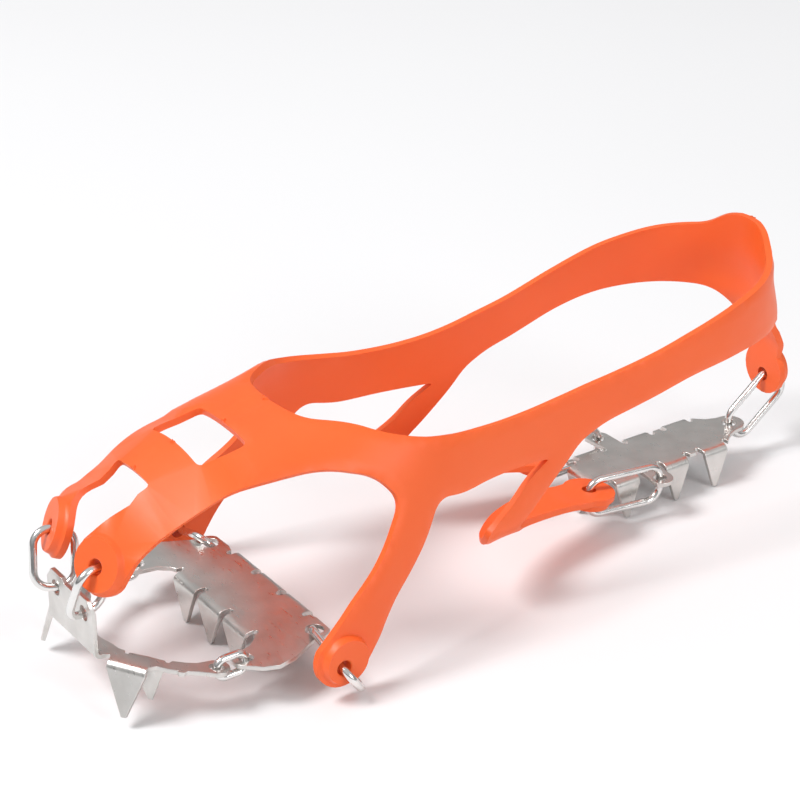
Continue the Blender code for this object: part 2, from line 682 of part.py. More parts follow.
def tooth_spot(a, b, drop=TOOTH_DROP, top=PLATE_TOP - PLATE, splay=0.0):
    """Tip below the middle of base a-b, pushed outward by splay."""
    a, b = np.array(a, float), np.array(b, float)
    out = np.array([b[1] - a[1], a[0] - b[0]]) / np.linalg.norm(b - a)
    x, y = (a + b) / 2 + out * (Sheet.BEND + splay)
    return x, y, top - drop


def toothed(sheet, a, b, relief=2.4, depth=2.6):
    """Boundary points for a tooth base a-b with a relief cut each side; the tooth is added to the sheet."""
    a, b = np.array(a, float), np.array(b, float)
    side = unit(b - a)
    sheet.tooth(a, b, tooth_spot(a, b))
    middle = (a + b) / 2
    return notch(a - side * relief, a, depth)[:-1] + [a, middle, b] + notch(b, b + side * relief, depth)[1:]


def ball_plate(material):
    """Plate under the ball of the foot: a crossbar with six teeth and a lug up each side."""
    sheet = Sheet()
    half = TOOTH_BASE / 2
    front, back = -248.0, -224.0
    edge = [(0, front)] + [(half, front)]
    sheet.tooth((-half, front), (half, front), tooth_spot((-half, front), (half, front)), centred=True)
    edge += notch((half, front), (10.5, front), 2.6)[1:-1]
    edge += [(10.5, front), (18, front), (25.5, front)] + notch((25.5, front), (27.9, front), 2.6)[1:]
    sheet.tooth((10.5, front), (25.5, front), tooth_spot((10.5, front), (25.5, front)))
    edge += [(30, -249), (33.4, -253)]
    edge += [(BALL_LINK[0] + 5.2 * math.cos(a), BALL_LINK[1] + 5.2 * math.sin(a))
             for a in np.radians(np.linspace(180, 330, 9))]
    edge += [(48.2, -256), (50.4, -250.5), (48.8, -243), (45, -235.5)]
    edge += [(BALL_RING[0] + 5.6 * math.cos(a), BALL_RING[1] + 5.6 * math.sin(a))
             for a in np.radians(np.linspace(-25, 60, 7))]
    edge += [(31, back + 1), (27.9, back)] + notch((27.9, back), (25.5, back), 2.6)[1:]
    edge += [(18, back), (10.5, back)] + notch((10.5, back), (half, back), 2.6)[1:]
    edge += [(0, back)]
    sheet.tooth((25.5, back), (10.5, back), tooth_spot((25.5, back), (10.5, back)))
    sheet.tooth((half, back), (-half, back), tooth_spot((half, back), (-half, back)), centred=True)
    edge += [(0, y) for y in np.linspace(back, front, 5)[1:-1]]
    sheet.lay(edge, (circle(*BALL_LINK, RING_HOLE - 0.3), circle(*BALL_RING, RING_HOLE + 0.5)))
    sheet.mirrored()
    return sheet.finish("ball_plate", material, (0, (BALL_LINK[1] + TOE_LINK[1]) / 2, PLATE_TOP - PLATE / 2))


def heel_plate(material):
    """Narrow plate under the heel: three teeth a side, one at the front, ears and a tail for the rings."""
    sheet = Sheet()
    wide, front = 12.0, -77.8
    half = TOOTH_BASE / 2
    edge = [(0, front), (half, front)] + notch((half, front), (half + 2.4, front), 2.6)[1:] + [(wide, front)]
    sheet.tooth((-half, front), (half, front), tooth_spot((-half, front), (half, front)), centred=True)
    for start in (-72.5, -47.5, -27.5):
        edge += toothed(sheet, (wide, start), (wide, start + 11.5))
        if start == -72.5:
            ear = [(HEEL_EAR[0] + 5.4 * math.cos(a), HEEL_EAR[1] + 5.4 * math.sin(a))
                   for a in np.radians(np.linspace(-50, 80, 8))]
            edge += ear
    edge += [(wide - 0.6, -13), (8, -9), (6.4, -5)]
    edge += [(6.2 * math.cos(a), HEEL_TAIL[1] + 6.2 * math.sin(a))
             for a in np.radians(np.linspace(10, 90, 7))]
    hole = [(HEEL_TAIL[0] + RING_HOLE * math.cos(a), HEEL_TAIL[1] + RING_HOLE * math.sin(a))
            for a in np.radians(np.linspace(90, -90, 7))]
    edge += hole
    edge += [(0, y) for y in np.linspace(HEEL_TAIL[1] - RING_HOLE, front, 9)[1:-1]]
    sheet.lay(edge, (circle(*HEEL_EAR, RING_HOLE - 0.3),))
    sheet.mirrored()
    return sheet.finish("heel_plate", material, (0, HEEL_EAR[1], PLATE_TOP - PLATE / 2))


def toe_height(x, y):
    """The toe frame rises toward the toe."""
    return float(np.interp(y, (-303, -294, -285, -266), (4.4, 4.2, 1.6, -1.5)))


def toe_frame(material):
    """Upright plate at the toe folded into an arm down each side of the toe, two teeth an arm."""
    sheet = Sheet(toe_height)
    fold = TOE_PLATE_Y + Sheet.BEND
    wide = TOE_PLATE_HALF
    outer, inner = ((20.2, -301.8), (33.2, -293.6)), ((30.0, -285.6), (21.4, -295.1))
    edge = [(x, fold) for x in (0, wide - 8, wide)]
    edge += [(17.5, -301.4), (18.4, -300.4), outer[0], np.mean(outer, axis=0), outer[1]]
    edge += [(32.6, -291.4), (32.9, -289.6), (35.0, -287.2), (37.0, -284.2), (38.2, -284.4), (39.2, -282.8),
             (38.6, -281.2), (40.4, -277.6)]
    edge += [(TOE_LINK[0] + 5.0 * math.cos(a), TOE_LINK[1] + 5.0 * math.sin(a))
             for a in np.radians(np.linspace(-52, 190, 12))]
    edge += [(34.4, -275.2), (32.6, -279.0), (30.0, -282.4), (30.9, -284.4), inner[0], np.mean(inner, axis=0)]
    edge += [inner[1], (20.2, -295.9), (18.8, -294.8), (16.2, -296.0), (12.5, -296.4), (7, -297.8),
             (0, -298.4)]
    sheet.tooth(*outer, (30.8, -303.0, -13.4))
    sheet.tooth(*inner, (25.7, -289.5, -13.4))
    sheet.lay(edge, (circle(*TOE_LINK, RING_HOLE - 0.3),))
    floor = toe_height(0, fold)
    rows = []
    for k in range(5):
        t = math.pi / 2 * k / 4
        rows.append([(x, fold - Sheet.BEND * math.sin(t), floor + Sheet.BEND * (1 - math.cos(t)))
                     for x in (0, wide - 8, wide)])
    sheet.strips(rows)
    low = floor + Sheet.BEND
    upright = [(0, low), (wide - 8, low), (wide, low), (wide, TOE_PLATE_TOP - 4.5),
               (wide - 3.5, TOE_PLATE_TOP), (5.4, TOE_PLATE_TOP), (3.6, TOE_PLATE_TOP - 1.6),
               (0, TOE_PLATE_TOP - 1.6)]
    sheet.lay(upright, (circle(*TOE_PLATE_HOLE, RING_HOLE),), lambda x, y: (x, TOE_PLATE_Y, y))
    sheet.mirrored()
    return sheet.finish("toe_frame", material, (0, TOE_PLATE_Y, TOE_PLATE_HOLE[1]))


def hung_ring(name, hole, normal, other, offset, material):
    """Ring through a boss's hole and a plate's hole, shifted out from the line between them."""
    span = np.linalg.norm(other - hole)
    down = unit(other - hole)
    cross = unit(normal - down * (normal @ down))
    size = span, RING_WIDTH, RING_CORNER
    wire_ring(name, (hole + other) / 2 + cross * offset, down, cross, size, hole, material)


def rings(material):
    """The seven harness rings and the two links between the front plates."""
    low = PLATE_TOP - PLATE / 2
    lean = math.radians(15.5)
    for side, word in ((1, "right"), (-1, "left")):
        plate = np.array([TOE_PLATE_HOLE[0] * side, TOE_PLATE_Y, TOE_PLATE_HOLE[1]])
        hung_ring("toe_ring_" + word, *boss_hole(TOE_BOSS, side), plate, 1.2, material)
        ear = np.array([HEEL_EAR[0] * side, HEEL_EAR[1], low])
        hung_ring("arch_ring_" + word, *boss_hole(WEB_BOSS, side), ear, 1.2, material)
        hole, _ = boss_hole(SIDE_BOSS, side)
        out = np.array([side * math.cos(lean), 0, -math.sin(lean)])
        rise = unit(np.array([0, -0.57, 0.82]) - out * (out @ [0, -0.57, 0.82]))
        middle = hole - out * 7.25 - rise * 6.6
        wire_ring("side_ring_" + word, middle, out, rise, (28.5, 13.2, 5.2), hole, material)
        middle = (side * TOE_LINK[0], (BALL_LINK[1] + TOE_LINK[1]) / 2, low)
        wire_ring("link_" + word, middle, (0, 1, 0), (0, 0, 1),
                  (BALL_LINK[1] - TOE_LINK[1], LINK_WIDTH, LINK_WIDTH / 2 - 0.1), middle, material)
    hole, _ = boss_hole(HEEL_BOSS)
    down, out = np.array([0, -0.79, -0.613]), np.array([0, 0.613, -0.79])
    turn = hole + (0, 0, 0.4 - RING_CORNER)  # the middle of the bend that goes through the hole
    middle = turn + down * (30.0 / 2 - RING_CORNER) + out * (RING_WIDTH / 2 - RING_CORNER)
    wire_ring("rear_ring", middle, down, out, (30.0, RING_WIDTH, RING_CORNER), hole, material)


def main():
    for thing in list(bpy.data.objects):
        bpy.data.objects.remove(thing, do_unlink=True)
    rubber = principled("harness_rubber", (0.90, 0.17, 0.045), 0.45, 0.0)
    wire = principled("polished_wire", (0.80, 0.80, 0.80), 0.16, 1.0)
    steel = principled("stamped_steel", (0.62, 0.61, 0.59), 0.34, 1.0)
    new_object("harness", *harness_mesh(3.6, 6.0), rubber)
    rings(wire)
    toe_frame(steel)
    ball_plate(steel)
    heel_plate(steel)


if __name__ == "__main__":
    main()
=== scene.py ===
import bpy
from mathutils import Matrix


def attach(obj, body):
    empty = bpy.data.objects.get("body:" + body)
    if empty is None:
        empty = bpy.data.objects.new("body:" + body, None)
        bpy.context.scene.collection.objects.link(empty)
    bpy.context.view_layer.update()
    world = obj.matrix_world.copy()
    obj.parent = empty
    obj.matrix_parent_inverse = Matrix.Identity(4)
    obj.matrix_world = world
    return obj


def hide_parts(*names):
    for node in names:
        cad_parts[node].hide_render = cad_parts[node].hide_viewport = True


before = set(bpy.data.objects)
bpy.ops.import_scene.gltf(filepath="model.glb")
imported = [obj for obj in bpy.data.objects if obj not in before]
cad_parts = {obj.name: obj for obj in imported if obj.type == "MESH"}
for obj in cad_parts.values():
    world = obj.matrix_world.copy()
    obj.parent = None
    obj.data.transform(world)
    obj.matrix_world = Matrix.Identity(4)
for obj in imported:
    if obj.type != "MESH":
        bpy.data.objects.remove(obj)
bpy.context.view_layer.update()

# Looks of the slip-on ice cleats: a finer harness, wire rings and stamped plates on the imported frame.
# Lengths are in millimetres in the shoe's frame (x across, heel at +y, toe at -y, z = 0 under the tread).
# They are moved by SHIFT and scaled to metres when a mesh is made.

import math

import bmesh
import bpy
import numpy as np
from mathutils import Matrix, Vector
from mathutils.geometry import delaunay_2d_cdt

MM = 0.001
SHIFT = Vector((0.0, 143.9, 17.8))  # shoe frame to object frame

# The shoe that the harness is stretched over.
SOLE_OUTLINE = (  # right half in plan, heel back to toe
    (0, 1.5), (17, -4), (30, -17), (37, -38), (38.5, -65), (37, -95), (37, -125),
    (41, -155), (50, -190), (54, -220), (53.5, -245), (46, -269), (33, -286), (17, -297), (0, -300),
)
SPINE_FRONT, SPINE_BACK = -250.0, -36.0  # ends of the ridge line that the sections close on
TOP_HEIGHT = (
    (-262, 66), (-240, 69), (-215, 75), (-190, 86), (-160, 104), (-120, 136), (-60, 190), (0, 230),
)
SQUARENESS = ((-262, 2.3), (-230, 2.4), (-190, 2.3), (-120, 2.6), (-60, 3.6), (0, 3.6))
FEATHER_HEIGHT = (
    (-300, 8), (-285, 4), (-262, 1), (-230, 0), (-190, 1), (-150, 4), (-110, 0), (-87, -4), (0, -4),
)
ARCH = (-197.0, -172.0, -66.0, -46.0)  # the sole's edge turns under here, fully between the inner two
ARCH_CURL, ARCH_TUCK = 9.0, 7.0  # radius of that turn, and its height above the wall's foot

# Harness
STRAP, BOSS = 3.2, 5.8  # thickness of the straps and of the bosses
BOSS_HOLE = 2.9  # radius
SHOULDER = 1.0  # width of the step up to a boss's disc
EDGE_ROUND = 0.7  # radius
SKIN_SPACING, SKIN_GRID = 1.6, 2.4  # of the points along its edges and inside
SKIN_SHARP = 38.0  # degrees: edges that turn more are shaded as creases
# Bosses: pattern coordinates s and g, radius of the strap's end, of the raised disc,
# and the hole's offset in s and g
TOE_BOSS = (336.1, 31.1, 11.6, 10.8, 0.2, -1.0)
SIDE_BOSS = (252.0, -1.5, 11.4, 9.6, 1.9, -1.7)
WEB_BOSS = (109.5, -9.5, 10.4, 9.4, 0.0, 0.0)
HEEL_BOSS = (0.0, 23.6, 10.8, 9.8, 0.0, -2.6)
TOE_LIFT, HEEL_LIFT, BAND_LIFT, SIDE_LIFT, REST_LIFT = 5.0, 9.2, 2.8, 1.3, 0.3

# Wire
WIRE = 3.0  # diameter
RING_WIDTH = 15.0  # between the wire's centre lines
RING_CORNER = 6.0
LINK_WIDTH = 7.6
SIDE_RING, SIDE_RING_LEAN = (28.5, 13.2, 5.2), 15.5  # length, width and corner; degrees below level
REAR_RING_LENGTH = 30.0

# Steel
PLATE = 1.8  # thickness
PLATE_TOP = -0.6
TOOTH_BASE, TOOTH_DROP = 15.0, 15.4
TOOTH_TIP = 0.9  # half the width of its blunt end
RELIEF, RELIEF_DEPTH = 2.4, 2.6  # width and depth of the cut beside a tooth
RING_HOLE = 3.0  # radius
BALL_LINK, BALL_RING = (39.5, -258.0), (37.4, -228.1)  # holes for the link and for the side ring
TOE_LINK = (39.5, -270.2)
TOE_PLATE_HOLE = (10.5, 20.0)  # x and z of the toe ring's hole
TOE_PLATE_Y, TOE_PLATE_TOP, TOE_PLATE_HALF = -305.0, 26.5, 17.0
HEEL_EAR, HEEL_TAIL = (20.0, -55.5), (0.0, -3.0)  # holes for the arch ring and for the rear ring

# Studio, in metres
SKY = ((0.02, (0.22, 0.22, 0.23)), (0.60, (1.0, 1.0, 1.0)))  # height of the view direction, colour
SKY_STRENGTH = 0.60
LIGHTS = (  # name, place, aim, size (m), power (W)
    ("key", (-0.4, -1.6, 2.4), (0, 0, 0.03), 1.1, 62),
    ("side", (2.4, 0.6, 1.3), (0, 0, 0.03), 1.2, 22),
)
FLOOR_REACH, FLOOR_DROP = 40.0, 0.0004  # half its side, and its gap below the teeth
CAMERA_TURN = (56.39, 27.28, -0.61)  # azimuth, elevation and roll in degrees
CAMERA_AIM, CAMERA_AWAY = (-141.9, -70.99, -30.17), 1181.5  # in the shoe's frame, in millimetres
CAMERA_LENS, CAMERA_SENSOR = 120.0, 36.0


def curve_through(knots, where):
    """Smooth curve through rows (t, value...), evaluated at where."""
    rows = np.array(knots, float)
    t, values = rows[:, 0], rows[:, 1:]
    slope = np.gradient(values, t, axis=0)
    return hermite(t, values, slope, where)


def hermite(t, values, slope, where):
    where = np.asarray(where, float)
    i = np.clip(np.searchsorted(t, where, side="right") - 1, 0, len(t) - 2)
    h = (t[i + 1] - t[i])[..., None]
    w = np.clip((where - t[i])[..., None] / h, 0, 1)
    start = (2 * w**3 - 3 * w**2 + 1) * values[i] + (w**3 - 2 * w**2 + w) * h * slope[i]
    end = (3 * w**2 - 2 * w**3) * values[i + 1] + (w**3 - w**2) * h * slope[i + 1]
    return start + end


def run_length(points):
    steps = np.linalg.norm(np.diff(points, axis=0), axis=1)
    return np.concatenate([[0.0], np.cumsum(steps)])


def smoothstep(value, low, high):
    w = np.clip((np.asarray(value, float) - low) / (high - low), 0, 1)
    return w * w * (3 - 2 * w)


class Last:
    """The shoe's outer surface, right half. Pattern coordinates are s, the distance along the sole's
    outline from the middle of the heel, and g, the distance up the surface from the sole's edge."""

    STATION, STEP, LOW = 1.0, 0.5, -40.0

    def __init__(self):
        knots = np.array(SOLE_OUTLINE, float)
        t = run_length(knots)
        slope = np.gradient(knots, t, axis=0)
        slope[0], slope[-1] = (1, 0), (-1, 0)
        fine = hermite(t, knots, slope, np.linspace(0, t[-1], 1400))
        self.outline_s = run_length(fine)
        self.outline = fine
        self.length = self.outline_s[-1]
        self.stations = np.linspace(0, self.length, int(self.length / self.STATION) + 1)
        self.levels = np.arange(self.LOW, 240, self.STEP)
        self.table = np.empty((len(self.stations), len(self.levels), 3))
        self.girth = np.empty(len(self.stations))
        for i, s in enumerate(self.stations):
            points, g = self.section(s)
            self.girth[i] = g[-1]
            for axis in range(3):
                self.table[i, :, axis] = np.interp(self.levels, g, points[:, axis])

    def edge_point(self, s):
        return np.array([np.interp(s, self.outline_s, self.outline[:, k]) for k in (0, 1)])

    def section(self, s):
        """Points of one section, from under the sole or below its edge up to the ridge, and their g."""
        x, y = self.edge_point(s)
        spine = min(max(y, SPINE_FRONT), SPINE_BACK)
        top = curve_through(TOP_HEIGHT, spine)[0]
        power = 2 / curve_through(SQUARENESS, spine)[0]
        base = curve_through(FEATHER_HEIGHT, y)[0]
        angle = np.linspace(0, math.pi / 2, 260)
        across, up = np.cos(angle) ** power, np.sin(angle) ** power
        across[-1] = 0
        wall = np.stack([x * across, spine + (y - spine) * across, base + (top - base) * up], 1)
        share = smoothstep(y, *ARCH[:2]) * (1 - smoothstep(y, *ARCH[2:]))
        radius, foot = ARCH_CURL * share, base + ARCH_TUCK * share
        if radius < 0.2:
            below = np.array([[x, y, base + self.LOW]])
            points = np.concatenate([below, wall])
            return points, run_length(points) + self.LOW
        start = [np.interp(foot + radius, wall[:, 2], wall[:, k]) for k in range(3)]
        start_g = np.interp(foot + radius, wall[:, 2], run_length(wall))
        wall = np.concatenate([[start], wall[wall[:, 2] > foot + radius + 0.01]])
        turn = np.linspace(math.pi / 2, 0, 24)[:-1]
        centre = np.array([start[0] - radius, start[1], start[2]])
        ones = np.ones_like(turn)
        curl = np.stack([radius * np.cos(turn), 0 * ones, -radius * np.sin(turn)], 1) + centre
        inward = centre + [[-45, 0, -radius]]
        points = np.concatenate([inward, curl, wall])
        g = run_length(points)
        return points, g - g[1 + len(curl)] + start_g

    def point(self, s, g):
        s, g = np.broadcast_arrays(np.asarray(s, float), np.asarray(g, float))
        row = np.clip(s, 0, self.length) / (self.length / (len(self.stations) - 1))
        i = np.clip(row.astype(int), 0, len(self.stations) - 2)
        column = np.clip((g - self.LOW) / self.STEP, 0, len(self.levels) - 1.001)
        j = column.astype(int)
        u, v = (row - i)[..., None], (column - j)[..., None]
        near = self.table[i, j] * (1 - v) + self.table[i, j + 1] * v
        far = self.table[i + 1, j] * (1 - v) + self.table[i + 1, j + 1] * v
        return near * (1 - u) + far * u

    def top_girth(self, s):
        return np.interp(s, self.stations, self.girth)

    def pattern_of(self, x, y):
        """Pattern coordinates of the point of the upper face above plan position x, y."""
        if y >= SPINE_FRONT:
            s = np.interp(-y, -self.outline[:, 1], self.outline_s)
            whole = np.interp(s, self.outline_s, self.outline[:, 0])
            share = x / whole
        else:
            bearing = np.arctan2(self.outline[:, 0], SPINE_FRONT - self.outline[:, 1])
            front = self.outline[:, 1] < SPINE_FRONT
            s = np.interp(-math.atan2(x, SPINE_FRONT - y), -bearing[front], self.outline_s[front])
            edge = self.edge_point(s)
            share = math.hypot(x, y - SPINE_FRONT) / math.hypot(edge[0], edge[1] - SPINE_FRONT)
        points, g = self.section(s)
        spine = min(max(self.edge_point(s)[1], SPINE_FRONT), SPINE_BACK)
        reach = np.hypot(points[:, 0], points[:, 1] - spine)
        upper = points[:, 2] > 20
        return s, np.interp(-share * reach.max(), -reach[upper], g[upper])


LAST = Last()


def lift(s, g):
    """How far the harness stands off the shoe."""
    toe = TOE_LIFT * smoothstep(s, 300, 318) * (1 - smoothstep(g, 33, 53))
    heel = HEEL_LIFT * (1 - smoothstep(s, 12, 30)) * (1 - smoothstep(g, 34, 60))
    heel = heel + BAND_LIFT * (1 - smoothstep(s, 14, 44)) * (1 - smoothstep(g, 60, 80))
    side = SIDE_LIFT * smoothstep(s, 225, 240) * (1 - smoothstep(s, 270, 290)) * (1 - smoothstep(g, 10, 40))
    return REST_LIFT + toe + heel + side


def outward(surface, s, g, step=1.2):
    """Unit normal of a surface given as a function of s and g, pointing away from the foot."""
    s = np.clip(s, 0, LAST.length)
    along = surface(np.minimum(s + step, LAST.length), g) - surface(np.maximum(s - step, 0), g)
    up = surface(s, g + step) - surface(s, g - step)
    normal = np.cross(up, along)
    normal[np.abs(surface(s, g)[..., 0]) < 0.3, 0] = 0
    return normal / np.linalg.norm(normal, axis=-1, keepdims=True)


def carrier(s, g):
    """The inner face of the harness."""
    return LAST.point(s, g) + outward(LAST.point, s, g) * lift(s, g)[..., None]


def frame_at(s, g):
    """Origin on the carrier, the directions of growing s and g, and the outward normal."""
    s, g = np.array([float(s)]), np.array([float(g)])
    origin, normal = carrier(s, g)[0], outward(carrier, s, g)[0]
    up = (carrier(s, g + 1) - carrier(s, g - 1))[0]
    up -= normal * (up @ normal)
    up /= np.linalg.norm(up)
    return origin, np.cross(normal, up), up, normal


# --- The harness's outline in pattern coordinates, right half, counter-clockwise from the heel ---

HEEL_LEG_HALF = 8.0


def on_top(x, y, trim=0.0):
    """Outline corner on the upper face, given in plan."""
    s, g = LAST.pattern_of(x, y)
    return s, g, trim


def boss_arc(boss, start, end, count):
    """Outline round a boss, from angle start to angle end in degrees."""
    angles = np.radians(np.linspace(start, end, count))
    return [(boss[0] + boss[2] * math.cos(a), boss[1] + boss[2] * math.sin(a), 0.0) for a in angles]


def harness_corners():
    """Corners (s, g, trim); trim is how far from the corner its rounding starts."""
    leg_angle = math.degrees(math.acos(HEEL_LEG_HALF / HEEL_BOSS[2]))
    corners = boss_arc(HEEL_BOSS, -90, leg_angle, 10)
    corners += [
        (HEEL_LEG_HALF, 50, 5), (16, 57.5, 7), (38, 60, 12), (62, 61.5, 12), (82, 60, 10),
        (102, 54, 10), (119.7, 47.6, 6), (131.5, 40.4, 5), (137.5, 33, 6), (152.7, 17.8, 8), (160.3, 11.6, 2),
        (152.5, 6, 6), (136, 3, 8), (121, 1.2, 5),
    ]
    corners += boss_arc(WEB_BOSS, 68, 312, 18)
    corners += [(126, -15.5, 6), (145, -11.5, 8), (162, -5.5, 8), (174.5, 3, 5), (177.5, 13.2, 2.2),
                (172.5, 16.4, 4), (164, 21.5, 6), (156.2, 29.2, 5), (146, 35.7, 2)]
    corners += [(173, 35.5, 10), (189, 36, 6), (203, 40.5, 6), (211, 28.5, 7), (218.5, 20.9, 8),
                (230.8, 9.9, 6)]
    corners += boss_arc(SIDE_BOSS, 203, 388, 18)
    corners += [(253.5, 12, 4), (247.5, 17.2, 6), (231, 29.5, 8), (219, 46, 6), (227, 57.5, 6),
                (245, 66.5, 9), (268, 67.5, 12), (288, 63.5, 10), (309, 52.5, 10), (321, 40.5, 6)]
    corners += boss_arc(TOE_BOSS, 211, 391, 18)
    corners += [on_top(9.5, -287, 4), on_top(10.5, -282.2)]
    return corners


def seam_corners():
    """The bar and the window in plan, and the upper edge of the band down to the heel."""
    bar = [(10.5, -282.2, 0), (11.5, -277.4, 2), (0, -277.4, 0)]
    window = [(0, -260.5, 0), (16.5, -260.5, 2.5), (16.5, -240.5, 2.5), (0, -240.5, 0)]
    upper = [on_top(8, -221.5, 4), on_top(18, -218.5, 6)]
    upper += [(227, 77, 6), (219, 70.5, 5), (209, 65.5, 5), (198, 61, 6), (185, 57, 6), (170, 55, 8),
              (154, 56, 8), (138, 59.5, 8), (122, 64.5, 9), (104, 70.5, 9), (84, 76.5, 9), (64, 81, 9),
              (40, 84, 9), (20, 86, 4), (11, 92, 3), (5, 93.4, 0)]
    return bar, window, upper


def plan_chain(corners, spacing):
    """The rounded chain of corners that are given in plan, near the seam."""
    return list(np.stack(pattern_from(np.array(rounded(corners, spacing))), 1))


def rounded(corners, spacing):
    """Points along a chain of corners with each corner rounded to a parabola of its trim length."""
    rows = [np.array(c, float) for c in corners]
    points = []
    for i, row in enumerate(rows):
        here, trim = row[:2], row[2]
        if trim <= 0 or i in (0, len(rows) - 1):
            points.append(here)
            continue
        before, after = rows[i - 1][:2] - here, rows[i + 1][:2] - here
        cut_a = min(trim, 0.5 * np.linalg.norm(before))
        cut_b = min(trim, 0.5 * np.linalg.norm(after))
        start = here + before / np.linalg.norm(before) * cut_a
        end = here + after / np.linalg.norm(after) * cut_b
        steps = max(2, int((cut_a + cut_b) / spacing) + 1)
        for w in np.linspace(0, 1, steps + 1):
            points.append((1 - w) ** 2 * start + 2 * w * (1 - w) * here + w * w * end)
    return spaced(points, spacing)


def spaced(points, spacing):
    """The chain with long runs split, and with points nearer than a third of the spacing dropped."""
    kept = [points[0]]
    for point in points[1:]:
        gap = np.linalg.norm(point - kept[-1])
        if gap < spacing / 3:
            continue
        pieces = max(1, round(gap / spacing))
        base = kept[-1]
        kept += [base + (point - base) * k / pieces for k in range(1, pieces + 1)]
    kept[-1] = points[-1]
    return kept


def harness_outline(spacing):
    """Closed outline as rows (s, g, seam), seam being 1 where the edge lies on the plane x = 0."""
    front, window, upper = seam_corners()
    lower = rounded(harness_corners(), spacing)[:-1] + plan_chain(front, spacing)
    rim = plan_chain(window, spacing)
    end = LAST.length
    bar = [np.array([end, g]) for g in np.linspace(lower[-1][1], rim[0][1], int(18 / spacing) + 1)]
    ridge_s = np.linspace(rim[-1][0], on_top(0, -222)[0], int(18 / spacing) + 1)
    ridge = [np.array([s, LAST.top_girth(s)]) for s in ridge_s]
    edge = rounded([(*ridge[-1], 0)] + upper + [(0, 93.5, 0)], spacing)
    back_g = np.linspace(edge[-1][1], HEEL_BOSS[1] - HEEL_BOSS[2], int(79 / spacing) + 1)
    back = [np.array([0, g]) for g in back_g]
    rows = []
    for chain, seam in ((lower, 0), (bar, 1), (rim, 0), (ridge, 1), (edge, 0), (back, 1)):
        rows += [(p[0], p[1], seam) for p in chain[:-1]]
    return np.array(rows)


# --- The flat layout that the harness is triangulated in: near enough true to length ---

RIDGE_S = 244.0


def flat_of(rows):
    s, g = rows[:, 0], rows[:, 1]
    whole = LAST.top_girth(np.maximum(s, RIDGE_S))
    edge = np.stack([np.interp(s, LAST.outline_s, LAST.outline[:, k]) for k in (0, 1)], 1)
    bearing = np.where(s > LAST.pole_s, np.arctan2(edge[:, 0], SPINE_FRONT - edge[:, 1]), math.pi / 2)
    reach = whole - g
    v = np.where(s > LAST.pole_s, SPINE_FRONT - reach * np.cos(bearing), SPINE_FRONT + LAST.pole_s - s)
    return np.stack([reach * np.sin(bearing), v], 1)


def pattern_from(flat):
    u, v = flat[:, 0], flat[:, 1]
    front = LAST.outline_s > LAST.pole_s
    bearing = np.arctan2(LAST.outline[front, 0], SPINE_FRONT - LAST.outline[front, 1])
    order = np.argsort(bearing)
    fan = np.interp(np.arctan2(u, SPINE_FRONT - v), bearing[order], LAST.outline_s[front][order])
    s = np.where(v < SPINE_FRONT, fan, SPINE_FRONT + LAST.pole_s - v)
    reach = np.where(v < SPINE_FRONT, np.hypot(u, SPINE_FRONT - v), u)
    return s, LAST.top_girth(np.maximum(s, RIDGE_S)) - reach


LAST.pole_s = float(np.interp(-SPINE_FRONT, -LAST.outline[:, 1], LAST.outline_s))


def inside(polygon, points):
    x, y = points[:, 0], points[:, 1]
    odd = np.zeros(len(points), bool)
    for (x0, y0), (x1, y1) in zip(polygon, np.roll(polygon, -1, axis=0)):
        if y0 != y1:
            odd ^= ((y0 > y) != (y1 > y)) & (x < (x1 - x0) * (y - y0) / (y1 - y0) + x0)
    return odd


def distance_to(polygon, points):
    best = np.full(len(points), 1e9)
    for a, b in zip(polygon, np.roll(polygon, -1, axis=0)):
        side = b - a
        w = np.clip((points - a) @ side / max(side @ side, 1e-12), 0, 1)
        best = np.minimum(best, np.linalg.norm(points - a - w[:, None] * side, axis=1))
    return best


def inset(polygon, seam, by):
    """Each vertex moved inwards; one end of a seam edge slides along the seam."""
    ahead = np.roll(polygon, -1, axis=0) - polygon
    ahead /= np.linalg.norm(ahead, axis=1, keepdims=True)
    behind, seam_behind = np.roll(ahead, 1, axis=0), np.roll(seam, 1)
    moved = polygon.copy()
    for i in range(len(polygon)):
        n0, n1 = np.array([-behind[i, 1], behind[i, 0]]), np.array([-ahead[i, 1], ahead[i, 0]])
        if seam[i] and seam_behind[i]:
            continue
        if seam[i] or seam_behind[i]:
            slide, normal = (ahead[i], n0) if seam[i] else (-behind[i], n1)
            moved[i] += slide * by / max(abs(slide @ normal), 0.4)
        else:
            middle = n0 + n1
            moved[i] += middle * by / max(middle @ middle / 2, 0.7)
    return moved


BOSSES = (TOE_BOSS, SIDE_BOSS, WEB_BOSS, HEEL_BOSS)
# Inset from the edge, share of EDGE_ROUND left out: a quarter round, and a last row on the flat
EDGE_STEPS = ((0.0, 1.0), (0.1, 0.49), (0.27, 0.21), (0.7, 0.0), (1.2, 0.0))


def nearest_boss(s, g):
    away = np.array([np.hypot(s - b[0], g - b[1]) for b in BOSSES])
    return away.argmin(axis=0), away.min(axis=0)


def harness_surface(s, g):
    """Inner-face points, outward normals and thickness, with the bosses made flat."""
    points, normals = carrier(s, g), outward(carrier, s, g)
    which, away = nearest_boss(s, g)
    for k, boss in enumerate(BOSSES):
        origin, along, up, normal = frame_at(*boss[:2])
        plane = origin + np.outer(s - boss[0], along) + np.outer(g - boss[1], up)
        share = ((which == k) * (1 - smoothstep(away, boss[2], boss[2] + 9)))[:, None]
        points = points * (1 - share) + plane * share
        normals = normals * (1 - share) + normal * share
    normals /= np.linalg.norm(normals, axis=1, keepdims=True)
    disc = np.array([boss[3] for boss in BOSSES])[which]
    raised = 1 - smoothstep(away, disc - SHOULDER, disc)
    return points, normals, STRAP + (BOSS - STRAP) * raised


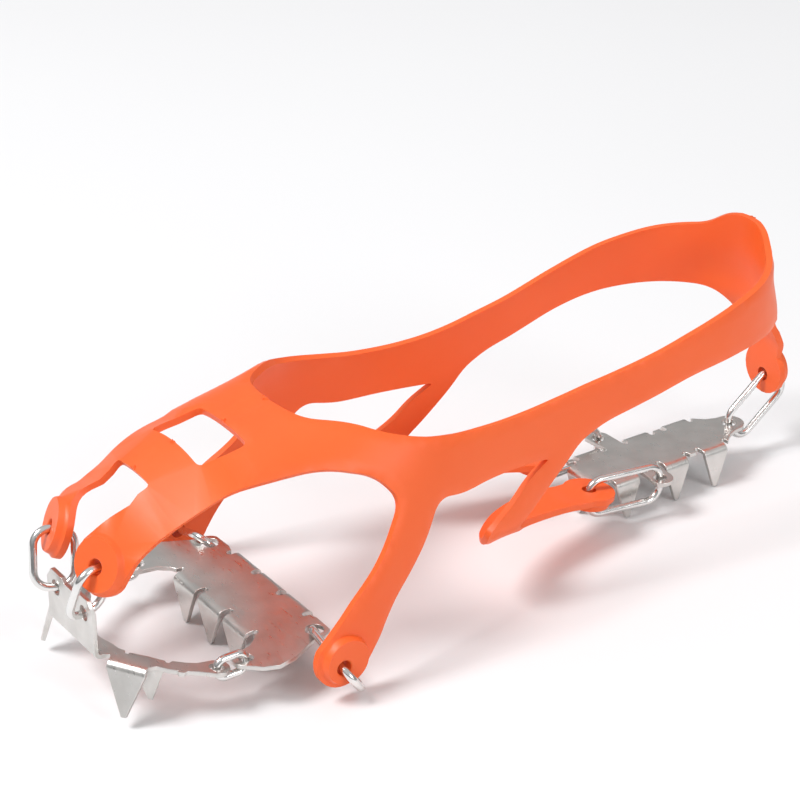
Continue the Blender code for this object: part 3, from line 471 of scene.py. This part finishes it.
def edge_rings(polygon, seam, steps):
    """The outline and the rings inside it: points, their share of the edge rounding, and edges."""
    total = len(polygon)
    free = [i for i in range(total) if not (seam[i] and seam[i - 1])]
    points, share = list(polygon), [steps[0][1]] * total
    edges = [(i, (i + 1) % total) for i in range(total)]
    for by, left in steps[1:]:
        ring = inset(polygon, seam, by)
        number = {i: len(points) + k for k, i in enumerate(free)}
        points += [ring[i] for i in free]
        share += [left] * len(free)
        edges += [(number[i], number[(i + 1) % total]) for i in free
                  if not seam[i] and (i + 1) % total in number]
    return points, share, edges, ring


def boss_loops(points, share, edges):
    """Adds the circles of every boss and returns the outlines of the holes."""
    holes = []
    for boss in BOSSES:
        half = boss[0] == 0
        for radius, left, count, along, up in boss_rings(boss):
            turns = np.linspace(-math.pi / 2, math.pi / 2, count // 2 + 1) if half else \
                np.linspace(0, 2 * math.pi, count + 1)[:-1]
            around = np.stack([np.cos(turns), np.sin(turns)], 1) * radius
            loop = flat_of(around + [boss[0] + along, boss[1] + up])
            if half:
                loop[[0, -1], 1] = SPINE_FRONT + LAST.pole_s
            first = len(points)
            points += list(loop)
            share += [left] * len(loop)
            sides = len(loop) - 1 if half else len(loop)
            edges += [(first + i, first + (i + 1) % len(loop)) for i in range(sides)]
            if radius == BOSS_HOLE:
                holes.append(loop)
    return holes


def grid_points(polygon, innermost, known, grid):
    """Staggered grid inside the outline, clear of the points that are already there."""
    spots = np.stack(np.meshgrid(np.arange(0.45, 260) * grid, np.arange(-60, 60) * grid), -1).reshape(-1, 2)
    spots[:, 1] += -100 + 0.5 * grid * (np.round(spots[:, 0] / grid - 0.45) % 2)
    spots = spots[inside(polygon, spots)]
    spots = spots[distance_to(innermost, spots) > 0.55 * grid]
    gap = np.array([np.linalg.norm(known - p, axis=1).min() for p in spots])
    which, away = nearest_boss(*pattern_from(spots))
    disc = np.array([boss[3] for boss in BOSSES])[which]
    return spots[(gap > 0.55 * grid) & (away > disc + 0.5)]


def harness_layout(spacing, grid, steps):
    """Flat points, with how deep each lies in the edge rounding, and the triangles over them."""
    outline = harness_outline(spacing)
    polygon, seam = flat_of(outline), outline[:, 2] > 0
    points, share, edges, innermost = edge_rings(polygon, seam, steps)
    hole_loops = boss_loops(points, share, edges)
    spots = grid_points(polygon, innermost, np.array(points), grid)
    points += list(spots)
    share += [0.0] * len(spots)
    verts, _, faces, origin, _, _ = delaunay_2d_cdt([Vector(p) for p in points], edges, [], 0, 1e-5)
    flat = np.array([tuple(v) for v in verts])
    depth = np.array([max(share[k] for k in origins) if origins else 0.0 for origins in origin])
    corners = np.array([tuple(face) for face in faces])
    middle = flat[corners].mean(axis=1)
    keep = inside(polygon, middle)
    for loop in hole_loops:
        keep &= ~inside(loop, middle)
    return flat, depth, corners[keep]


def boss_rings(boss):
    """Circles (radius, share of edge rounding, sides, offset in s and g) in a boss."""
    hole = boss[4:]
    rings = [(BOSS_HOLE + by, left, 28, *hole) for by, left in ((0, 0.6), (0.2, 0.2), (0.5, 0), (1.0, 0))]
    return rings + [(boss[3] - SHOULDER * by, 0.0, 48, 0.0, 0.0) for by in (1.5, 1, 0.67, 0.33, 0)]


def harness_mesh(spacing, grid, steps):
    """Vertices and faces of the whole harness in the shoe frame, in millimetres."""
    flat, depth, faces = harness_layout(spacing, grid, steps)
    s, g = pattern_from(flat)
    base, normal, height = harness_surface(s, g)
    top = base + normal * (height - EDGE_ROUND * depth)[:, None]
    on_seam = (np.abs(flat[:, 0]) < 1e-3) | (np.abs(flat[:, 1] - SPINE_FRONT - LAST.pole_s) < 1e-3)
    base[on_seam, 0] = 0
    top[on_seam, 0] = 0
    count = len(flat)
    up = np.cross(top[faces[:, 1]] - top[faces[:, 0]], top[faces[:, 2]] - top[faces[:, 0]])
    turned = (up * normal[faces].sum(axis=1)).sum(axis=1).sum() < 0
    faces = faces[:, ::-1] if turned else faces
    sides = {}  # a dictionary, because it keeps the order
    for a, b, c in faces:
        sides.update({(a, b): True, (b, c): True, (c, a): True})
    walls = [(a, b) for a, b in sides if (b, a) not in sides and not (on_seam[a] and on_seam[b])]
    polygons = [tuple(f) for f in faces] + [tuple(f[::-1] + count) for f in faces]
    polygons += [(b, a, a + count, b + count) for a, b in walls]
    half = np.concatenate([top, base])
    whole = np.concatenate([half, half * [-1, 1, 1]])
    polygons += [tuple(k + 2 * count for k in reversed(p)) for p in polygons]
    return whole, polygons


def new_object(name, vertices, faces, material, pivot=(0, 0, 0), weld=0.01):
    """Object from shoe-frame millimetres, its origin at pivot."""
    mesh = bpy.data.meshes.new(name)
    centre = Vector(pivot)
    mesh.from_pydata([(Vector(v) - centre) * MM for v in vertices], [], [list(map(int, f)) for f in faces])
    work = bmesh.new()
    work.from_mesh(mesh)
    bmesh.ops.remove_doubles(work, verts=work.verts, dist=weld * MM)
    bmesh.ops.dissolve_degenerate(work, dist=1e-7, edges=work.edges)
    loose = [v for v in work.verts if not v.link_faces]
    bmesh.ops.delete(work, geom=loose, context="VERTS")
    bmesh.ops.recalc_face_normals(work, faces=work.faces)
    work.to_mesh(mesh)
    work.free()
    mesh.materials.append(material)
    for face in mesh.polygons:
        face.use_smooth = True
    thing = bpy.data.objects.new(name, mesh)
    thing.location = (centre + SHIFT) * MM
    bpy.context.scene.collection.objects.link(thing)
    return thing


# --- Wire ---

def unit(vector):
    vector = np.array(vector, float)
    return vector / np.linalg.norm(vector)


def oval_path(length, width, corner, turn):
    """Closed rounded rectangle, centred, first coordinate along its length."""
    path = []
    for cx, cy, start in ((1, 1, 0), (-1, 1, 90), (-1, -1, 180), (1, -1, 270)):
        for k in range(turn + 1):
            a = math.radians(start + 90 * k / turn)
            path.append((cx * (length / 2 - corner) + corner * math.cos(a),
                         cy * (width / 2 - corner) + corner * math.sin(a)))
    return np.array(path)


def wire_ring(name, centre, along, across, size, pivot, material, sides=24, turn=10):
    """Closed wire oval: along and across are its axes, size is (length, width, corner) of the centre line."""
    along = unit(along)
    across = unit(np.array(across, float) - along * (np.array(across, float) @ along))
    path = oval_path(*size, turn)
    flat = np.array(centre, float) + path[:, :1] * along + path[:, 1:] * across
    heading = np.roll(path, -1, axis=0) - np.roll(path, 1, axis=0)
    heading /= np.linalg.norm(heading, axis=1, keepdims=True)
    out = heading[:, 1:] * along - heading[:, :1] * across
    third = np.cross(along, across)
    vertices, faces, count = [], [], len(path)
    for k in range(sides):
        a = 2 * math.pi * (k + 0.5) / sides
        vertices += list(flat + WIRE / 2 * (math.cos(a) * out + math.sin(a) * third))
    for k in range(sides):
        for i in range(count):
            j, m = (i + 1) % count, (k + 1) % sides
            faces.append((k * count + i, k * count + j, m * count + j, m * count + i))
    add_piece(new_object(name + "_wire", vertices, faces, material, pivot), name)


def boss_hole(boss, side=1):
    """Middle of a boss's hole and the boss's outward normal, on the side asked for."""
    origin, along, up, normal = frame_at(*boss[:2])
    mirror = np.array([side, 1, 1])
    return (origin + along * boss[4] + up * boss[5] + normal * BOSS / 2) * mirror, normal * mirror


# --- Steel: a folded sheet's middle surface, thickened ---

def notch(a, b, depth, turn=4):
    """Relief cut between boundary points a and b, a half round at its bottom."""
    a, b = np.array(a, float), np.array(b, float)
    across = b - a
    radius = np.linalg.norm(across) / 2
    inward = np.array([-across[1], across[0]]) / (2 * radius)
    floor = (a + b) / 2 + inward * max(depth - radius, 0.1)
    return [a] + [floor + radius * (-math.cos(t) * across / (2 * radius) + math.sin(t) * inward)
                  for t in np.linspace(0, math.pi, turn + 1)] + [b]


def circle(x, y, radius, sides=12):
    return [(x + radius * math.cos(2 * math.pi * k / sides), y + radius * math.sin(2 * math.pi * k / sides))
            for k in range(sides)]


class Sheet:
    """Middle surface of a folded plate. height gives z over the flat plan."""

    BEND = 2.0

    def __init__(self, height=lambda x, y: PLATE_TOP - PLATE / 2):
        self.height = height
        self.vertices, self.faces = [], []

    def lay(self, boundary, holes=(), place=None):
        """A flat panel with holes; place maps plan coordinates to space."""
        place = place or (lambda x, y: (x, y, self.height(x, y)))
        points, edges = [], []
        for loop in (boundary, *holes):
            first = len(points)
            points += [tuple(map(float, p)) for p in loop]
            edges += [(first + i, first + (i + 1) % len(loop)) for i in range(len(loop))]
        verts, _, faces, _, _, _ = delaunay_2d_cdt([Vector(p) for p in points], edges, [], 0, 1e-6)
        flat = np.array([tuple(v) for v in verts])
        start = len(self.vertices)
        self.vertices += [place(x, y) for x, y in flat]
        for face in faces:
            middle = flat[list(face)].mean(axis=0)[None]
            if inside(np.array(boundary, float), middle)[0] and \
                    not any(inside(np.array(h), middle)[0] for h in holes):
                self.faces.append(tuple(start + k for k in face))

    def strips(self, rows):
        start, width = len(self.vertices), len(rows[0])
        for row in rows:
            self.vertices += [tuple(p) for p in row]
        for i in range(len(rows) - 1):
            for j in range(width - 1):
                a = start + i * width + j
                self.faces.append((a, a + 1, a + width + 1, a + width))

    def tooth(self, a, b, tip, turn=3, centred=False):
        """Bent-down tooth on the boundary edge a-b (the panel on its left), ending at the given point.
        A centred one straddles x = 0 and only its right half is added."""
        middle = ((a[0] + b[0]) / 2, (a[1] + b[1]) / 2)
        a3, m3, b3 = (np.array([*p, self.height(*p)]) for p in (a, middle, b))
        out = np.array([b3[1] - a3[1], a3[0] - b3[0], 0]) / np.linalg.norm((b3 - a3)[:2])
        rows = []
        for k in range(turn + 1):
            t = math.pi / 2 * k / turn
            shift = out * self.BEND * math.sin(t) + np.array([0, 0, -self.BEND * (1 - math.cos(t))])
            rows.append([a3 + shift, m3 + shift, b3 + shift])
        tip, side = np.array(tip, float), (b3 - a3) / np.linalg.norm(b3 - a3)
        base = rows[-1]
        flat_tip = [tip - side * TOOTH_TIP, tip, tip + side * TOOTH_TIP]
        for w in (0.15, 0.5, 1.0):
            rows.append([p * (1 - w) + q * w for p, q in zip(base, flat_tip)])
        if centred:
            rows = [[p for p in row if p[0] > -1e-6] for row in rows]
        self.strips(rows)

    def mirrored(self):
        """Adds the other half across x = 0."""
        count = len(self.vertices)
        self.vertices += [(-v[0], v[1], v[2]) for v in self.vertices]
        self.faces += [tuple(count + k for k in reversed(f)) for f in self.faces]

    def finish(self, name, material, pivot):
        thing = new_object(name + "_sheet", self.vertices, self.faces, material, pivot, weld=0.02)
        thick = thing.modifiers.new("thickness", "SOLIDIFY")
        thick.thickness, thick.offset, thick.use_even_offset = PLATE * MM, 0.0, True
        soft = thing.modifiers.new("edges", "BEVEL")
        soft.width, soft.segments = 0.25 * MM, 2
        soft.limit_method, soft.angle_limit = "ANGLE", math.radians(40)
        thing.modifiers.new("flats", "WEIGHTED_NORMAL")
        add_piece(thing, name)


def tooth_spot(a, b):
    """Tip below the middle of base a-b, out by the bend."""
    a, b = np.array(a, float), np.array(b, float)
    out = np.array([b[1] - a[1], a[0] - b[0]]) / np.linalg.norm(b - a)
    x, y = (a + b) / 2 + out * Sheet.BEND
    return x, y, PLATE_TOP - PLATE - TOOTH_DROP


def toothed(sheet, a, b):
    """Boundary points for a tooth base a-b with a relief cut each side; the tooth is added to the sheet."""
    a, b = np.array(a, float), np.array(b, float)
    side = unit(b - a)
    sheet.tooth(a, b, tooth_spot(a, b))
    middle = (a + b) / 2
    before, after = notch(a - side * RELIEF, a, RELIEF_DEPTH), notch(b, b + side * RELIEF, RELIEF_DEPTH)
    return before[:-1] + [a, middle, b] + after[1:]


def ball_plate(material):
    """Plate under the ball of the foot: a crossbar with six teeth and a lug up each side."""
    sheet = Sheet()
    half = TOOTH_BASE / 2
    front, back = -248.0, -224.0
    edge = [(0, front), (half, front)]
    sheet.tooth((-half, front), (half, front), tooth_spot((-half, front), (half, front)), centred=True)
    edge += notch((half, front), (10.5, front), RELIEF_DEPTH)[1:-1]
    edge += [(10.5, front), (18, front), (25.5, front)]
    edge += notch((25.5, front), (27.9, front), RELIEF_DEPTH)[1:]
    sheet.tooth((10.5, front), (25.5, front), tooth_spot((10.5, front), (25.5, front)))
    edge += [(30, -249), (33.4, -253)]
    edge += [(BALL_LINK[0] + 5.2 * math.cos(a), BALL_LINK[1] + 5.2 * math.sin(a))
             for a in np.radians(np.linspace(180, 330, 9))]
    edge += [(48.2, -256), (50.4, -250.5), (48.8, -243), (45, -235.5)]
    edge += [(BALL_RING[0] + 5.6 * math.cos(a), BALL_RING[1] + 5.6 * math.sin(a))
             for a in np.radians(np.linspace(-25, 60, 7))]
    edge += [(31, back + 1), (27.9, back)] + notch((27.9, back), (25.5, back), RELIEF_DEPTH)[1:]
    edge += [(18, back), (10.5, back)] + notch((10.5, back), (half, back), RELIEF_DEPTH)[1:]
    edge += [(0, back)]
    sheet.tooth((25.5, back), (10.5, back), tooth_spot((25.5, back), (10.5, back)))
    sheet.tooth((half, back), (-half, back), tooth_spot((half, back), (-half, back)), centred=True)
    edge += [(0, y) for y in np.linspace(back, front, 5)[1:-1]]
    sheet.lay(edge, (circle(*BALL_LINK, RING_HOLE - 0.3), circle(*BALL_RING, RING_HOLE + 0.5)))
    sheet.mirrored()
    sheet.finish("ball_plate", material, (0, (BALL_LINK[1] + TOE_LINK[1]) / 2, PLATE_TOP - PLATE / 2))


def heel_plate(material):
    """Narrow plate under the heel: three teeth a side, one at the front, ears and a tail for the rings."""
    sheet = Sheet()
    wide, front = 12.0, -77.8
    half = TOOTH_BASE / 2
    edge = [(0, front), (half, front)] + notch((half, front), (half + RELIEF, front), RELIEF_DEPTH)[1:]
    edge += [(wide, front)]
    sheet.tooth((-half, front), (half, front), tooth_spot((-half, front), (half, front)), centred=True)
    for start in (-72.5, -47.5, -27.5):
        edge += toothed(sheet, (wide, start), (wide, start + 11.5))
        if start == -72.5:
            edge += [(HEEL_EAR[0] + 5.4 * math.cos(a), HEEL_EAR[1] + 5.4 * math.sin(a))
                     for a in np.radians(np.linspace(-50, 80, 8))]
    edge += [(wide - 0.6, -13), (8, -9), (6.4, -5)]
    edge += [(6.2 * math.cos(a), HEEL_TAIL[1] + 6.2 * math.sin(a))
             for a in np.radians(np.linspace(10, 90, 7))]
    edge += [(HEEL_TAIL[0] + RING_HOLE * math.cos(a), HEEL_TAIL[1] + RING_HOLE * math.sin(a))
             for a in np.radians(np.linspace(90, -90, 7))]
    edge += [(0, y) for y in np.linspace(HEEL_TAIL[1] - RING_HOLE, front, 9)[1:-1]]
    sheet.lay(edge, (circle(*HEEL_EAR, RING_HOLE - 0.3),))
    sheet.mirrored()
    sheet.finish("heel_plate", material, (0, HEEL_EAR[1], PLATE_TOP - PLATE / 2))


def toe_height(x, y):
    """Height of the toe frame over its plan: the same all across, rising toward the toe."""
    return float(np.interp(y, (-303, -294, -285, -266), (4.4, 4.2, 1.6, -1.5)))


def toe_frame(material):
    """Upright plate at the toe folded into an arm down each side of the toe, two teeth an arm."""
    sheet = Sheet(toe_height)
    fold = TOE_PLATE_Y + Sheet.BEND
    wide = TOE_PLATE_HALF
    outer, inner = ((20.2, -301.8), (33.2, -293.6)), ((30.0, -285.6), (21.4, -295.1))
    edge = [(x, fold) for x in (0, wide - 8, wide)]
    edge += [(17.5, -301.4), (18.4, -300.4), outer[0], np.mean(outer, axis=0), outer[1]]
    edge += [(32.6, -291.4), (32.9, -289.6), (35.0, -287.2), (37.0, -284.2), (38.2, -284.4), (39.2, -282.8),
             (38.6, -281.2), (40.4, -277.6)]
    edge += [(TOE_LINK[0] + 5.0 * math.cos(a), TOE_LINK[1] + 5.0 * math.sin(a))
             for a in np.radians(np.linspace(-52, 190, 12))]
    edge += [(34.4, -275.2), (32.6, -279.0), (30.0, -282.4), (30.9, -284.4)]
    edge += [inner[0], np.mean(inner, axis=0), inner[1]]
    edge += [(20.2, -295.9), (18.8, -294.8), (16.2, -296.0), (12.5, -296.4), (7, -297.8), (0, -298.4)]
    sheet.tooth(*outer, (30.8, -303.0, -13.4))
    sheet.tooth(*inner, (25.7, -289.5, -13.4))
    sheet.lay(edge, (circle(*TOE_LINK, RING_HOLE - 0.3),))
    floor = toe_height(0, fold)
    rows = []
    for k in range(5):
        t = math.pi / 2 * k / 4
        rows.append([(x, fold - Sheet.BEND * math.sin(t), floor + Sheet.BEND * (1 - math.cos(t)))
                     for x in (0, wide - 8, wide)])
    sheet.strips(rows)
    low = floor + Sheet.BEND
    upright = [(0, low), (wide - 8, low), (wide, low), (wide, TOE_PLATE_TOP - 4.5),
               (wide - 3.5, TOE_PLATE_TOP), (5.4, TOE_PLATE_TOP), (3.6, TOE_PLATE_TOP - 1.6),
               (0, TOE_PLATE_TOP - 1.6)]
    sheet.lay(upright, (circle(*TOE_PLATE_HOLE, RING_HOLE),), lambda x, y: (x, TOE_PLATE_Y, y))
    sheet.mirrored()
    sheet.finish("toe_frame", material, (0, TOE_PLATE_Y, TOE_PLATE_HOLE[1]))


def hung_ring(name, hole, normal, other, offset, material):
    """Ring through a boss's hole and a plate's hole, shifted out from the line between them."""
    span = np.linalg.norm(other - hole)
    down = unit(other - hole)
    cross = unit(normal - down * (normal @ down))
    size = span, RING_WIDTH, RING_CORNER
    wire_ring(name, (hole + other) / 2 + cross * offset, down, cross, size, hole, material)


def rings(material):
    """The seven harness rings and the two links between the front plates."""
    low = PLATE_TOP - PLATE / 2
    lean = math.radians(SIDE_RING_LEAN)
    for side, word in ((1, "right"), (-1, "left")):
        plate = np.array([TOE_PLATE_HOLE[0] * side, TOE_PLATE_Y, TOE_PLATE_HOLE[1]])
        hung_ring("toe_ring_" + word, *boss_hole(TOE_BOSS, side), plate, 1.2, material)
        ear = np.array([HEEL_EAR[0] * side, HEEL_EAR[1], low])
        hung_ring("arch_ring_" + word, *boss_hole(WEB_BOSS, side), ear, 1.2, material)
        hole, _ = boss_hole(SIDE_BOSS, side)
        out = np.array([side * math.cos(lean), 0, -math.sin(lean)])
        rise = unit(np.array([0, -0.57, 0.82]) - out * (out @ [0, -0.57, 0.82]))
        middle = hole - out * 7.25 - rise * 6.6
        wire_ring("side_ring_" + word, middle, out, rise, SIDE_RING, hole, material)
        middle = (side * TOE_LINK[0], (BALL_LINK[1] + TOE_LINK[1]) / 2, low)
        wire_ring("link_" + word, middle, (0, 1, 0), (0, 0, 1),
                  (BALL_LINK[1] - TOE_LINK[1], LINK_WIDTH, LINK_WIDTH / 2 - 0.1), middle, material)
    hole, _ = boss_hole(HEEL_BOSS)
    down, out = np.array([0, -0.79, -0.613]), np.array([0, 0.613, -0.79])
    turn = hole + (0, 0, 0.4 - RING_CORNER)  # the middle of the bend that goes through the hole
    middle = turn + down * (REAR_RING_LENGTH / 2 - RING_CORNER) + out * (RING_WIDTH / 2 - RING_CORNER)
    wire_ring("rear_ring", middle, down, out, (REAR_RING_LENGTH, RING_WIDTH, RING_CORNER), hole, material)


# --- Materials ---

def node_material(name, metal):
    material = bpy.data.materials.new(name)
    material.use_nodes = True
    tree = material.node_tree
    shader = tree.nodes["Principled BSDF"]
    shader.inputs["Metallic"].default_value = metal
    place = tree.nodes.new("ShaderNodeTexCoord")
    return material, tree, shader, place


def noise(tree, place, scale, detail, stretch=(1, 1, 1)):
    mapping = tree.nodes.new("ShaderNodeMapping")
    mapping.inputs["Scale"].default_value = stretch
    tree.links.new(place.outputs["Object"], mapping.inputs["Vector"])
    texture = tree.nodes.new("ShaderNodeTexNoise")
    texture.inputs["Scale"].default_value = scale
    texture.inputs["Detail"].default_value = detail
    tree.links.new(mapping.outputs["Vector"], texture.inputs["Vector"])
    return texture.outputs["Fac"]


def ramp(tree, value, stops, target):
    """Maps a value in 0..1 to the colours at two stops (position, colour)."""
    node = tree.nodes.new("ShaderNodeValToRGB")
    for element, (position, colour) in zip(node.color_ramp.elements, stops):
        element.position, element.color = position, (*colour, 1)
    tree.links.new(value, node.inputs["Fac"])
    tree.links.new(node.outputs["Color"], target)


def grey(low, high):
    return ((0.3, (low,) * 3), (0.7, (high,) * 3))


def bump(tree, value, strength, distance, shader):
    node = tree.nodes.new("ShaderNodeBump")
    node.inputs["Strength"].default_value = strength
    node.inputs["Distance"].default_value = distance
    tree.links.new(value, node.inputs["Height"])
    tree.links.new(node.outputs["Normal"], shader.inputs["Normal"])


def harness_material():
    material, tree, shader, place = node_material("moulded_elastomer", 0.0)
    shade = noise(tree, place, 18, 4)
    ramp(tree, shade, ((0.3, (0.88, 0.118, 0.016)), (0.7, (0.93, 0.136, 0.021))), shader.inputs["Base Color"])
    ramp(tree, noise(tree, place, 60, 4), grey(0.40, 0.50), shader.inputs["Roughness"])
    shader.inputs["Subsurface Weight"].default_value = 0.12
    shader.inputs["Subsurface Radius"].default_value = (1.0, 0.25, 0.1)
    shader.inputs["Subsurface Scale"].default_value = 0.004
    bump(tree, noise(tree, place, 900, 2), 0.04, 0.0002, shader)
    return material


def wire_material():
    material, tree, shader, place = node_material("bright_wire", 1.0)
    ramp(tree, noise(tree, place, 120, 3), ((0.3, (0.72, 0.715, 0.70)), (0.7, (0.83, 0.825, 0.81))),
         shader.inputs["Base Color"])
    ramp(tree, noise(tree, place, 300, 3), grey(0.13, 0.24), shader.inputs["Roughness"])
    return material


def steel_material():
    material, tree, shader, place = node_material("satin_steel", 1.0)
    ramp(tree, noise(tree, place, 90, 4), ((0.3, (0.60, 0.585, 0.56)), (0.7, (0.72, 0.705, 0.68))),
         shader.inputs["Base Color"])
    ramp(tree, noise(tree, place, 200, 5, (1, 6, 1)), grey(0.26, 0.42), shader.inputs["Roughness"])
    bump(tree, noise(tree, place, 700, 3, (1, 5, 1)), 0.05, 0.0002, shader)
    return material


def floor_material():
    material, tree, shader, place = node_material("studio_floor", 0.0)
    ramp(tree, noise(tree, place, 2, 2), ((0.3, (0.84, 0.84, 0.85)), (0.7, (0.86, 0.86, 0.87))),
         shader.inputs["Base Color"])
    shader.inputs["Roughness"].default_value = 0.6
    return material


# --- Studio ---

def camera():
    """Looks at the object from its front right, above."""
    azimuth, elevation, roll = (math.radians(v) for v in CAMERA_TURN)
    back = Vector((math.sin(azimuth) * math.cos(elevation), -math.cos(azimuth) * math.cos(elevation),
                   math.sin(elevation)))
    right = Vector((math.cos(azimuth), math.sin(azimuth), 0))
    up = back.cross(right)
    across = right * math.cos(roll) + up * math.sin(roll)
    upward = up * math.cos(roll) - right * math.sin(roll)
    where = Vector(CAMERA_AIM) + back * CAMERA_AWAY + SHIFT
    data = bpy.data.cameras.new("camera")
    data.lens, data.sensor_width = CAMERA_LENS, CAMERA_SENSOR
    data.clip_start, data.clip_end = 0.05, 50
    thing = bpy.data.objects.new("camera", data)
    bpy.context.scene.collection.objects.link(thing)
    turn = Matrix((across, upward, back)).transposed().to_4x4()
    thing.matrix_world = Matrix.Translation(where * MM) @ turn
    bpy.context.scene.camera = thing


def area_light(name, where, aim, size, power):
    data = bpy.data.lights.new(name, "AREA")
    data.shape, data.size, data.energy = "DISK", size, power
    thing = bpy.data.objects.new(name, data)
    bpy.context.scene.collection.objects.link(thing)
    thing.location = where
    thing.rotation_mode = "QUATERNION"
    thing.rotation_quaternion = (Vector(aim) - Vector(where)).to_track_quat("-Z", "Y")


def sky():
    """White overhead and grey towards the horizon, so that bright metal has something to reflect."""
    world = bpy.data.worlds.new("studio")
    bpy.context.scene.world = world
    world.use_nodes = True
    tree = world.node_tree
    split = tree.nodes.new("ShaderNodeSeparateXYZ")
    tree.links.new(tree.nodes.new("ShaderNodeTexCoord").outputs["Generated"], split.inputs["Vector"])
    shade = tree.nodes["Background"]
    ramp(tree, split.outputs["Z"], SKY, shade.inputs["Color"])
    shade.inputs["Strength"].default_value = SKY_STRENGTH


def studio():
    """A pale floor, soft light from above and a camera."""
    mesh = bpy.data.meshes.new("floor")
    corners = [(x * FLOOR_REACH, y * FLOOR_REACH, 0) for x, y in ((-1, -1), (1, -1), (1, 1), (-1, 1))]
    mesh.from_pydata(corners, [], [(0, 1, 2, 3)])
    floor = bpy.data.objects.new("floor", mesh)
    floor.location.z = -FLOOR_DROP
    bpy.context.scene.collection.objects.link(floor)
    mesh.materials.append(floor_material())
    sky()
    for light in LIGHTS:
        area_light(*light)
    bpy.context.scene.view_settings.view_transform = "Standard"
    camera()


def add_piece(thing, node):
    """Makes the object ride on a node's body and stand for the node."""
    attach(thing, node)
    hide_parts(node)


def build():
    """Every piece of the visual model, each riding on its node's body."""
    rubber, wire, steel = harness_material(), wire_material(), steel_material()
    skin = new_object("harness_skin", *harness_mesh(SKIN_SPACING, SKIN_GRID, EDGE_STEPS), rubber)
    skin.data.set_sharp_from_angle(angle=math.radians(SKIN_SHARP))
    add_piece(skin, "harness")
    rings(wire)
    toe_frame(steel)
    ball_plate(steel)
    heel_plate(steel)


build()
studio()
